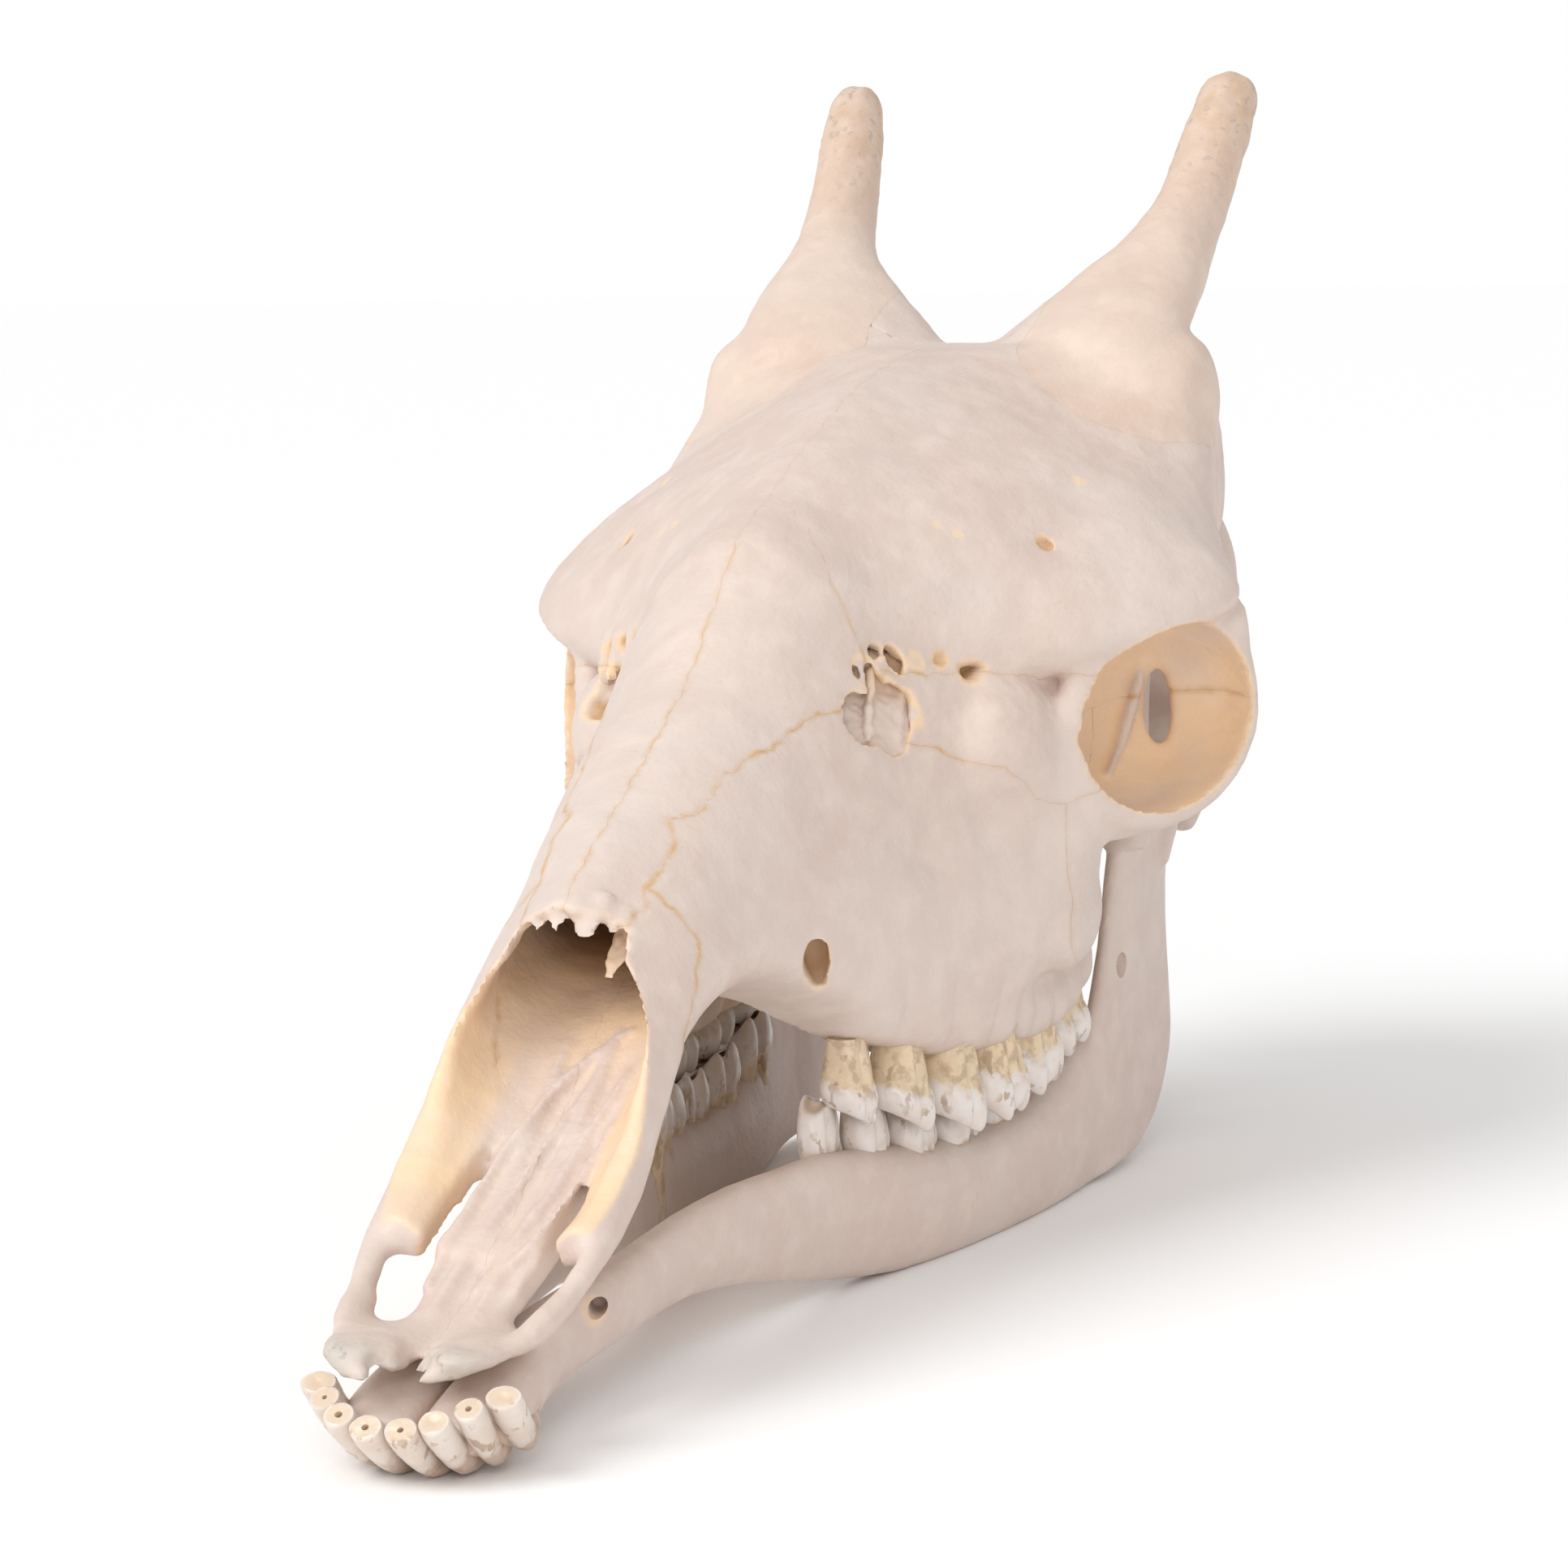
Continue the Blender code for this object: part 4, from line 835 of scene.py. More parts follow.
# %% [markdown]
# Over the nose the two nasal bones end in broken points, and thin crests and folds run along
# its floor. They stand inside the hollow, so they are melted in after the hollow is cut. The
# crest in the eye socket and the wall that closes its depth are made in the same way.

# %% What stands inside the hollows
# Points of the nasal bones, from root to tip, with radii.
NASAL_POINTS = [
    ([(6, 141, 84.5), (5.6, 135.8, 79.5), (5.1, 132.6, 74), (4.4, 131, 68.8)], [5.4, 4.6, 2.6, 0.4]),
    ([(-3, 139, 82), (-3, 134, 78), (-2.6, 131.5, 74.2)], [3.6, 2.6, 0.4]),
    ([(-9, 140, 80), (-9, 135.5, 76.5), (-8.6, 133, 73.6)], [3.2, 2.2, 0.3]),
    ([(12, 142, 80.5), (12, 137.5, 77), (11.6, 135, 73.2)], [3.8, 2.6, 0.4]),
]
# Folds along the floor of the nose, each with its radius.
FLOOR_FOLDS = [
    (
        [(-12, 64, -3.2), (-12.3, 82, 6.7), (-11.8, 100, 16.4), (-8.6, 114, 25.2), (-2, 133, 35.6),
         (11, 148, 46)],
        1.4,
    ),
    ([(1.4, 65, -2.6), (7.6, 88, 10.3), (9.5, 101, 17.2), (10.8, 116, 25.5), (15.3, 134.5, 38.6)], 1.2),
    ([(7.6, 71, 1.2), (12.2, 78, 6.6), (14.4, 91.4, 12.8), (16, 104, 20.4), (17, 118, 28.4)], 1.2),
    ([(-6, 66, -3.2), (-4.5, 80, 5), (-2.5, 94, 12.8), (0, 110, 22), (3, 125, 30), (8, 140, 39)], 0.9),
]
FLOOR_CREST = [(6, 56, -8), (6, 78, 2), (6, 100, 13), (6.5, 125, 28), (7, 150, 43), (7, 176, 52)]
FLOOR_CREST_RADII = [1.8, 2.1, 2.2, 2.3, 2.3, 2.0]
SIDE_CREST = [(12.5, 66, -4), (13, 86, 5), (13, 104, 14), (12.5, 124, 26), (12.5, 146, 40)]
SIDE_CREST_RADII = [1.7, 1.9, 2.1, 2.1, 1.8]
# The crest down the inner wall of the eye socket.
SOCKET_CREST = [
    (80.6, 380.2, 107.0), (79.2, 379.6, 99.5), (77.4, 378.7, 92.7), (76.1, 375.4, 86.0),
    (75.2, 370.2, 80.0), (75.6, 360.2, 74.8),
]
SOCKET_CREST_RADII = [1.2, 1.8, 2.1, 2.1, 1.9, 1.2]
# The wall behind the socket: centre, the way it faces, half length, half height and depth.
SOCKET_BACK = ((77.5, 399, 89.5), Vector((0.35, -0.93, 0.1)), 9, 15, 2.2)


def standing_shells():
    """Crests and folds on the floor of the nose, slivers, and points of the nasal bones."""
    found = []
    for side in (1, -1):
        found.append(tube("floor_crest", FLOOR_CREST, FLOOR_CREST_RADII, side, flat=1.3))
        found.append(tube("side_crest", SIDE_CREST, SIDE_CREST_RADII, side))
        for path in SLIVERS[side]:
            radii = [2.2, 1.5] + [1.4] * (len(path) - 3) + [0.9]
            found.append(tube("sliver", path, radii, side, sides=10))
        found.append(tube("socket_crest", SOCKET_CREST, SOCKET_CREST_RADII, side))
        found.append(framed_blob("socket_back", *SOCKET_BACK, side=side))
    for path, radii in NASAL_POINTS:
        found.append(tube("nasal_point", path, radii, flat=0.32))
    for path, size in FLOOR_FOLDS:
        radii = [size * 0.5] + [size] * (len(path) - 2) + [size * 0.4]
        found.append(tube("floor_fold", path, radii, sides=12))
    return found


print("points over the nose:", len(NASAL_POINTS), "and folds on its floor:", len(FLOOR_FOLDS))

# %% [markdown]
# Now all that is hollow is melted into one cutter. Its skin is roughened most where the real
# edges are ragged: at the points of the nose, round the gaps and at the front of the socket.

# %% Cutting the hollows
def hollow_shells():
    """Every shape that is cut out of the upper skull, still apart."""
    found = [
        loft("nasal_cavity", NASAL_CAVITY),
        prism("nasal_front", NOSE_FRONT, -60, 60, "x"),
        loft("palate_vault", PALATE_VAULT),
        blob("choana", *CHOANA),
        tube("foramen_magnum", *FORAMEN_MAGNUM, flat=0.95),
    ]
    for side in (1, -1):
        socket = (ORBIT_HALF_LENGTH, ORBIT_HALF_HEIGHT, ORBIT_DEPTH)
        found += [
            framed_blob("orbit", ORBIT_CENTRE, ORBIT_FACING, *socket, side=side, tilt=ORBIT_TILT),
            tube("orbit_opening", ORBIT_OPENING, ORBIT_OPENING_RADII, side, flat=3.2),
            tube("infraorbital", *INFRAORBITAL, side, flat=1.7),
            tube("lower_infraorbital", *LOWER_INFRAORBITAL, side),
            tube("palatine_fissure", *FISSURE, side, flat=2.4),
            tube("temporal_gap", *TEMPORAL_GAP, side, flat=1.35),
            tube("optic", *OPTIC, side, flat=1.5),
            tube("ear_canal", *EAR_CANAL, side),
        ]
        for centre, radii in EYE_GAP[side]:
            found.append(blob("eye_gap", centre, radii, side, segments=28, rings=16))
        for place, way, size in EYE_PITS[side]:
            place = Vector(place)
            way = Vector(way).normalized()
            path = [place + way * 5, place - way * 2, place - way * 8]
            found.append(tube("eye_pit", path, [size, size * 1.05, size * 0.8], side))
        for x, y, z, size in VESSELS:
            path = [(x + 2, y - 4, z + 5), (x, y, z), (x - 2, y + 5, z - 6)]
            found.append(tube("vessel", path, [size * 1.3, size, size * 0.7], side))
    return found


# Ragged edges: depth in millimetres, middle, reach, stretch and size of the noise, and its seed.
RAGGED = [
    (3.2, (None, 134, 76), (None, 9, 8), (1, 0.2, 0.4), 4.2, 2),
    (1.5, (46, 272, 113), (12, 26, 13), (1, 1, 1), 3.4, 3),
    (1.6, (79, 322, 93), (7, 9, 16), (1, 1, 1), 2.6, 4),
]
hollows = melted("hollows", hollow_shells(), FINE, 0)
spots = places_of(hollows)
rough = 0.25 * noise(spots, 6, 1)
for depth, middle, reach, stretch, size, seed in RAGGED:
    rough += depth * bell(spots, middle, reach) * noise(spots * stretch, size, seed)
set_places(hollows, spots + places_of(hollows, "normal") * rough[:, None])
HOLLOW_SKIN = (places_of(hollows), [tuple(face.vertices) for face in hollows.data.polygons])
boolean(cranium, hollows, "DIFFERENCE")
cranium = melted("cranium", [cranium] + standing_shells(), FINE, 2)
keep_largest(cranium)
print("upper skull:", len(cranium.data.polygons), "faces with its holes")

# %% [markdown]
# Six cheek teeth stand in each row, three with one lobe in front and three with two behind. One
# list holds the rows, because the bone over the upper roots bulges where each tooth stands.

# %% The cheek teeth as numbers
# Half length, half width, upper x and y, level of the tip, lower x and y, number of lobes.
CHEEK_TEETH = [
    (8.5, 8.0, 35.0, 240, -2, 27.0, 235, 1),
    (9.0, 10.0, 43.0, 259, -9, 34.0, 253, 1),
    (9.5, 11.5, 50.0, 279, -14, 40.0, 273, 1),
    (13.0, 12.0, 53.0, 303, -16, 44.0, 297, 2),
    (14.0, 12.0, 53.5, 331, -15, 46.0, 325, 2),
    (14.0, 11.5, 53.0, 359, -9, 47.5, 355, 2),
]
print("cheek teeth in a row:", len(CHEEK_TEETH))

# %% [markdown]
# Bone is never smooth: the roots of the cheek teeth push out ribs, the cheek has shallow
# dents, the horns are pitted at their tips and the whole skin is faintly uneven. All of it is
# moved in the mesh itself, so it shows in the outline too, which a bump in the material can't do.

# %% Relief of the bone
# Dents and swellings of the face: place, reach and depth in millimetres.
DENTS = [
    ((56, 265, 68), 11, -2.2), ((65, 289, 75), 9, -2.4), ((60, 276, 55), 13, 1.2),
    ((75, 318, 57), 13, 2.0), ((40, 205, 62), 14, -1.2), ((31, 173, 78), 12, -1.0),
    ((68, 337, 147), 9, -1.5), ((70, 362, 163), 10, -0.9), ((52, 330, 160), 22, 1.4),
    ((20, 372, 190), 24, 0.9), ((50, 405, 186), 20, -1.0), ((62, 262, 30), 12, 1.0),
    ((66, 300, 30), 16, 1.2), ((72, 306, 62), 9, -1.6), ((50, 240, 50), 12, -1.2),
    ((82, 336, 66), 8, -1.3), ((58, 300, 108), 9, 0.8), ((38, 290, 166), 15, -0.8),
    ((90, 350, 140), 14, 0.9), ((56, 285, 47), 8, -1.0),
]
DENT_DEPTH = 1.4
RIB_HEIGHT = 1.3
VALLEY_DEPTH = 0.7
# Level of the gum's edge along the upper row.
GUM_AT = [240, 281, 306, 333, 360]
GUM_LEVEL = [20, 7, 3, 0, 3]


def relief(places, normals):
    """How far each point of the upper skull moves along its normal."""
    x = np.abs(places[:, 0])
    y, z = places[:, 1], places[:, 2]
    move = 0.7 * noise(places, 24, 31) + 0.3 * noise(places, 9, 32) + 0.12 * noise(places, 3.4, 33)
    mirrored = np.column_stack([x, y, z])
    for centre, reach, depth in DENTS:
        apart = np.linalg.norm(mirrored - np.array(centre), axis=1) / reach
        move += DENT_DEPTH * depth * np.exp(-(apart**2)) * (0.8 + 0.3 * noise(places, 7, 34))
    outward = np.clip(normals[:, 0] * np.sign(places[:, 0]), 0, 1)
    for half_length, half_width, ux, uy, tip, lx, ly, lobes in CHEEK_TEETH:
        for lobe in range(lobes):
            middle = uy + (lobe - (lobes - 1) / 2) * half_length
            gum = np.interp(middle, GUM_AT, GUM_LEVEL)
            rib = np.exp(-(((y - middle) / (half_length / lobes * 0.62)) ** 2))
            fade = np.clip((z - gum + 3) / 4, 0, 1) * np.clip((gum + 24 - z) / 18, 0, 1)
            move += RIB_HEIGHT * rib * fade * outward * (x > 28)
            valley = np.exp(-(((y - middle - half_length / lobes) / 1.8) ** 2))
            move -= VALLEY_DEPTH * valley * fade * outward * (x > 28)
    along = np.clip((z - 205) / 55, 0, 1)
    move += along * (0.7 + 0.45 * noise(places * (1, 0.35, 0.35), 3.2, 35) + 0.25 * noise(places, 2.0, 36))
    sieve = bell(places, (None, 306, 100), (None, 20, 15))
    move += 0.5 * sieve * (np.abs(noise(places, 3.4, 37)) - 0.4) + 0.25 * sieve * noise(places, 2.0, 39)
    under_brow = bell(places, (None, 312, 110), (None, 24, 14)) * (x > 40)
    move += 1.6 * under_brow
    end = np.clip((50 - y) / 14, 0, 1) * (z < 0)
    move += 0.5 * end * noise(places, 3.0, 38)
    return move


spots = places_of(cranium)
normals = places_of(cranium, "normal")
moved = relief(spots, normals)
set_places(cranium, spots + normals * moved[:, None])
print("relief from", moved.min().round(1), "to", moved.max().round(1), "mm")

# %% [markdown]
# A dry skull is many bones that meet along sutures. The fine skin is parted along the same
# lines as the solids, a little jagged as sutures are, so each bone is its own piece and the
# seam between two bones is a real gap. A painted line would be easier, but it would show no
# gap where light and shadow fall.

# %% Jagged cutters
SEAM = 0.04
# Half the width of a cutter that has to reach past the whole skull.
FAR = 200


def copy_of(obj, name):
    """A second object with a mesh of its own."""
    made = bpy.data.objects.new(name, obj.data.copy())
    WORK.objects.link(made)
    return made


def grown(outline, by):
    """The outline moved outwards by a distance at every side."""
    area = 0.0
    count = len(outline)
    for i in range(count):
        (x0, y0), (x1, y1) = outline[i], outline[(i + 1) % count]
        area += x0 * y1 - x1 * y0
    turn = 1.0 if area > 0 else -1.0
    found = []
    for i in range(count):
        here = Vector(outline[i])
        ahead = (Vector(outline[(i + 1) % count]) - here).normalized()
        behind = (here - Vector(outline[i - 1])).normalized()
        out_a = Vector((ahead.y, -ahead.x)) * turn
        out_b = Vector((behind.y, -behind.x)) * turn
        middle = out_a + out_b
        if middle.length < 0.2:
            middle = out_a
        middle.normalize()
        reach = by / max(middle.dot(out_a), 0.4)
        found.append(tuple(here + middle * reach))
    return found


def jagged(outline, step=1.0, reach=0.8, seed=5):
    """The outline in short steps, each pushed sideways a little."""
    points = []
    count = len(outline)
    for i in range(count):
        a = np.array(outline[i], float)
        b = np.array(outline[(i + 1) % count], float)
        pieces = max(1, int(np.linalg.norm(b - a) / step))
        points += [a + (b - a) * k / pieces for k in range(pieces)]
    points = np.array(points)
    push = np.column_stack([points, np.zeros(len(points))])
    for axis in (0, 1):
        fine = 0.6 * noise(push, 1.6, seed + axis) + 1.3 * noise(push, 4.2, seed + 2 + axis)
        points[:, axis] += reach * fine
        points[:, axis] += 1.7 * reach * noise(push, 10, seed + 4 + axis)
    return [tuple(p) for p in points]


def both(outline, low, high, axis, seed):
    """The room of a bone, and the same room a seam wider."""
    line = jagged(outline, seed=seed)
    return prism("inner", grown(line, -SEAM), low, high, axis), prism("outer", line, low, high, axis)


print("seam between two bones:", SEAM, "mm")

# %% [markdown]
# To part a bone, its room is cut out of a copy of the skull and taken away from the rest, a
# hair wider. Paired bones are then split along the middle by a wavy plane.

# %% Carving a bone out
def carve(body, name, inner, outer):
    """The bone inside one room, taken out of the body a seam wider."""
    piece = copy_of(body, name)
    boolean(piece, inner, "INTERSECT")
    boolean(body, outer, "DIFFERENCE")
    keep_largest(piece)
    return piece


def halves(piece, name):
    """A paired bone split along the wavy line in the middle."""
    found = []
    for side, word in ((1, "left"), (-1, "right")):
        line = []
        for k in range(390):
            wave = 0.35 * math.sin(k * 0.9) + 0.3 * math.sin(k * 2.3)
            line.append((side * SEAM / 2 + wave, -80 + 2 * k))
        half = copy_of(piece, f"{name}_{word}")
        keep = prism("half", line + [(side * FAR, 698), (side * FAR, -80)], -FAR, 2 * FAR, "z")
        boolean(half, keep, "INTERSECT")
        keep_largest(half)
        found.append(half)
    bpy.data.objects.remove(piece, do_unlink=True)
    return found


def ossicone_room(side, radius):
    """The room of one horn: a rough ball round its foot and a sleeve round its shaft."""
    foot = blob("foot", OSSICONE_FOOT, (radius,) * 3, side, segments=96, rings=60)
    roughened(foot, 3.0, 0.5, 11)
    top = Vector(OSSICONE_AXIS[-1]) + Vector((0, 30, 36))
    sleeve = tube("sleeve", [OSSICONE_FOOT, top], [radius - 2, radius + 4], side, sides=40, steps=1)
    boolean(foot, sleeve, "UNION")
    return foot


print("the horns end in a rough round foot,", OSSICONE_FOOT_RADIUS, "mm in radius")

# %% [markdown]
# The bones come out one after another: horns, nasal bones, lacrimal bones, frontal bones,
# incisive bones, cheek bones and upper jaws. What is left is the braincase with the base.

# %% Parting the bones
SIDE_LINE = [(120, 70), (139, 77.5), (157, 87), (170, 95), (187, 101), (205, 108), (246, 115)]
NASAL = SIDE_LINE + [(290, 118), (290, 260), (100, 260), (100, 72)]
NASAL_PLAN = [(60, 60), (60, 240), (44, 264), (26, 268), (16, 280), (0, 289)]
LACRIMAL = [
    (256, 103), (276, 99), (290, 92), (304, 78), (318, 75), (332, 80), (345, 90), (345, 111),
    (322, 112), (296, 117), (262, 122),
]
FRONTAL = [
    (243, 119), (251, 113), (262, 104), (300, 93.7), (326, 85.7), (350, 90), (385, 95.5),
    (419, 97), (421, 110), (428, 150), (440, 190), (462, 260), (243, 260),
]
PREMAXILLA = [
    (-20, -80), (108, -80), (120, 20), (139, 50), (146, 57), (154, 68), (150, 90), (-20, 90),
]
CHEEK_PLAN = [(79, 308), (74, 346), (66, 372), (60, 417), (140, 417), (140, 308)]
MAXILLA = [
    (462, 260), (440, 190), (428, 150), (421, 110), (416, 84), (404, 60), (392, 20),
    (392, -120), (100, -120), (100, 260),
]


def divide(body):
    """All bones of the upper skull as pieces of their own."""
    bones = []
    for side, word in ((1, "left"), (-1, "right")):
        inner = ossicone_room(side, OSSICONE_FOOT_RADIUS - SEAM)
        outer = ossicone_room(side, OSSICONE_FOOT_RADIUS)
        bones.append(carve(body, f"ossicone_{word}_bone", inner, outer))

    plan = NASAL_PLAN + [(-x, y) for x, y in NASAL_PLAN[-2::-1]]
    inner, outer = both(NASAL, -FAR, FAR, "x", 20)
    plan_inner, plan_outer = both(plan, -300, 400, "z", 30)
    boolean(inner, plan_inner, "INTERSECT")
    boolean(outer, plan_outer, "INTERSECT")
    bones += halves(carve(body, "nasal", inner, outer), "nasal_bone")

    for side, word in ((1, "left"), (-1, "right")):
        low, high = sorted((side * 40, side * 120))
        inner, outer = both(LACRIMAL, low, high, "x", 40)
        bones.append(carve(body, f"lacrimal_bone_{word}", inner, outer))

    bones += halves(carve(body, "frontal", *both(FRONTAL, -FAR, FAR, "x", 50)), "frontal_bone")
    cutters = both(PREMAXILLA, -FAR, FAR, "x", 60)
    bones += halves(carve(body, "premaxilla", *cutters), "premaxilla_bone")

    for side, word in ((1, "left"), (-1, "right")):
        cheek = [(side * x, y) for x, y in CHEEK_PLAN]
        inner, outer = both(cheek, 10, 130, "z", 70)
        bones.append(carve(body, f"zygomatic_bone_{word}", inner, outer))

    bones += halves(carve(body, "maxilla", *both(MAXILLA, -FAR, FAR, "x", 80)), "maxilla_bone")
    keep_largest(body)
    body.name = "braincase_bone"
    bones.append(body)
    return bones


bones = divide(cranium)
for bone in bones:
    print(bone.name, len(bone.data.polygons))

# %% [markdown]
# Behind the gaps lie thin rolled sheets of bone, the scrolls of the nose. One shows in each eye
# gap and one hangs behind the left nasal bone. A flat bulb with ridges on it, crumpled twice by
# the random numbers, looks like such a spongy sheet and is still a closed body.

# %% Scrolls of thin bone
def scroll(name, shells, seed):
    """A thin sheet with a crumpled, spongy face."""
    sheet = melted(name, shells, FINE * 0.6, 1)
    roughened(sheet, 5.0, 0.9, seed)
    roughened(sheet, 2.0, 0.55, seed + 1)
    return sheet


scrolls = []
for side, word in ((1, "left"), (-1, "right")):
    plate = framed_blob("plate", (40.5, 272, 110.5), Vector((0.8, -0.3, 0.5)), 24, 19, 1.7, side=side)
    ridge = tube("ridge", [(39, 289, 124), (41.8, 281, 116.5), (44.5, 266, 102)], [1.3, 1.9, 1.3], side)
    second = tube("ridge", [(36, 272, 124), (38.5, 262, 115), (41, 254, 104)], [1.0, 1.5, 1.0], side)
    scrolls.append(scroll(f"eye_gap_scroll_{word}", [plate, ridge, second], 60 + side))
HANGING = [(14, 167, 88), (12.5, 154, 76.5), (10, 145.5, 67.5), (8, 140.5, 61.5)]
hanging = tube("hanging", HANGING, [4.5, 4.6, 4.0, 1.6], flat=0.42)
curl = tube("curl", [(15, 158, 80), (14.5, 149, 70), (12.5, 144, 65)], [1.6, 1.8, 0.8])
scrolls.append(scroll("nose_scroll_left", [hanging, curl], 64))
print("scrolls:", {piece.name: len(piece.data.polygons) for piece in scrolls})

# %% [markdown]
# Each half of the lower jaw is a flat rod. A row holds its place along the jaw, the middle and
# half of its width, its top and bottom and the roundness of its two edges. The rod starts narrow
# at the chin, spreads outwards and deepens below the cheek teeth.

# %% The body of the jaw
JAW = [
    (24, 10.5, 9.6, -25, -33, 2.4, 1.8),
    (34, 11.8, 12.0, -21, -37, 2.4, 1.7),
    (48, 11.6, 12.0, -17, -40, 2.4, 1.6),
    (64, 10.4, 10.2, -14, -37.5, 2.4, 1.6),
    (82, 11.4, 8.8, -11, -33.5, 2.4, 1.7),
    (100, 14.8, 7.6, -9, -31, 2.4, 1.9),
    (122, 17.4, 6.6, -8, -29.5, 2.4, 2.0),
    (150, 19.8, 6.2, -6, -29.5, 2.4, 2.0),
    (180, 23.2, 6.6, -6, -34.5, 2.4, 2.2),
    (205, 26.8, 7.4, -8, -41, 2.4, 2.2),
    (228, 31.0, 8.6, -9.5, -47, 2.6, 2.4),
    (255, 37.0, 10.0, -14.5, -52.5, 2.6, 2.4),
    (290, 43.0, 11.4, -20, -56.5, 2.6, 2.4),
    (325, 47.5, 12.0, -22, -58.5, 2.6, 2.4),
    (352, 51.0, 11.0, -18, -59.5, 2.6, 2.4),
    (376, 54.0, 8.5, -10, -59.5, 2.6, 2.4),
    (398, 56.5, 6.0, -12, -59, 2.6, 2.4),
    (416, 57.5, 4.6, -22, -55, 2.6, 2.4),
]
print("jaw:", len(JAW), "sections,", JAW[-1][0] - JAW[0][0], "mm long")

# %% [markdown]
# Behind the teeth the jaw rises as a thin plate to the knuckle of its joint and to a hook in
# front of it. Its rows are level sections: height, middle and half of its thickness, front, back.

# %% The rising part of the jaw
RAMUS = [
    (-57, 57, 4.6, 376, 420),
    (-50, 57.5, 5.0, 368, 438),
    (-38, 58, 5.2, 364, 450),
    (-26, 58.5, 5.2, 367, 454),
    (-8, 59.5, 4.8, 377, 451),
    (14, 61, 4.6, 388, 445.5),
    (36, 63, 4.6, 392, 443),
    (54, 65, 5.0, 396, 446),
]
CORONOID = [(64, 402, 44), (66.5, 402, 64), (68.5, 404, 86), (70, 410, 103)]
CORONOID_RADII = [9.0, 7.0, 5.4, 3.4]
CONDYLE = (67, 441, 56.5)
CONDYLE_RADII = (14, 8, 6.5)
NECK = ([(62.5, 428, 34), (64.5, 435, 45), (66.5, 440, 54)], [7.5, 7, 6.5])
ANGLE = ((57.5, 414, -36), (6, 34, 20))


def jaw_shells(side):
    """The shells of one half of the jaw, still apart."""
    rings = []
    for y, middle, half, top, bottom, upper, lower in smooth_rows(JAW, 2):
        ring = []
        for x, z in section(half, (top + bottom) / 2, top, bottom, upper, lower, 20):
            ring.append((side * (middle + x), y, z))
        rings.append(ring)
    shells = [skin("jaw_body", rings)]
    rings = []
    for z, middle, half, front, back in smooth_rows(RAMUS, 2):
        ring = []
        for x, y in section(half, (front + back) / 2, back, front, 2.6, 2.6, 20):
            ring.append((side * (middle + x), y, z))
        rings.append(ring)
    shells.append(skin("ramus", rings))
    shells.append(tube("coronoid", CORONOID, CORONOID_RADII, side))
    shells.append(tube("neck", *NECK, side))
    shells.append(blob("condyle", CONDYLE, CONDYLE_RADII, side))
    shells.append(blob("angle", *ANGLE, side))
    return shells


print("the jaw rises", RAMUS[-1][0] - RAMUS[0][0], "mm")

# %% [markdown]
# Each half is melted on its own, with less smoothing than the skull, and cut straight at the
# middle, where the two meet in a seam. A nerve comes out through the hole at the chin. The pit
# in the outer side behind the teeth only marks its way in; a real jaw has that hole inside.

# %% The two halves
CHIN_HOLE = ([(28, 84, -14), (22, 92, -15), (17, 104, -16)], [3.3, 2.9, 2.0])
REAR_PIT = ([(62, 396, 8), (70, 396, 4), (74, 396, 0)], [4.0, 3.2, 2.0])
JAW_SMOOTH_TURNS = 8


def jaw_half(side, word):
    """One half of the jaw with its hole and its pit, cut at the middle."""
    jaw = melted(f"mandible_{word}_bone", jaw_shells(side), FINE * 0.85, JAW_SMOOTH_TURNS)
    holes = [tube("mental", *CHIN_HOLE, side)]
    holes += [tube("inner", *REAR_PIT, side)]
    boolean(jaw, melted("jaw_holes", holes, FINE * 0.6, 0), "DIFFERENCE")
    outline = [(side * x, y) for x, y in ((SEAM, -80), (FAR, -80), (FAR, 700), (SEAM, 700))]
    boolean(jaw, prism("half", outline, -FAR, 2 * FAR, "z"), "INTERSECT")
    return jaw


jaws = [jaw_half(1, "left"), jaw_half(-1, "right")]
print("jaw:", [len(jaw.data.polygons) for jaw in jaws])

# %% [markdown]
# The upper and lower rows of cheek teeth meet near a surface that rises towards the tongue, and
# both rows end close to it. Along each tooth a stored number runs from the root to the worn
# face, for the colours.

# %% Where the rows meet
BITE_SLOPE = 0.30
BITE_GAP = 0.8
UPPER_ROOT = 24.0
LOWER_ROOT = 34.0
LOWER_WIDTH = 0.62


def bite_level(x, y):
    """Height of the surface where the two rows meet: it falls towards the cheek."""
    places = [row[3] for row in CHEEK_TEETH]
    tip = np.interp(y, places, [row[4] for row in CHEEK_TEETH])
    outer = np.interp(y, places, [row[2] + row[1] for row in CHEEK_TEETH])
    return float(tip + BITE_SLOPE * (outer - abs(x)))


def keep_along(obj, values):
    """Stores a number for each vertex; the two cap points take the numbers at the ends."""
    store = obj.data.attributes.new("along", "FLOAT", "POINT")
    store.data.foreach_set("value", np.array(values + [values[0], values[-1]], np.float32))
    return obj


print("bite level at the first tooth:", round(bite_level(27, 240), 1), "mm")

# %% [markdown]
# A ruminant's cheek tooth is a column of two lobes with ribs on its cheek side. Its outline is
# an oval with bumps and grooves added by a formula. Geometry Nodes could set one tooth along
# the row many times, but here each has its own size, slope and wear, so a function makes each.

# %% The outline of a cheek tooth
TOOTH_SIDES = 84


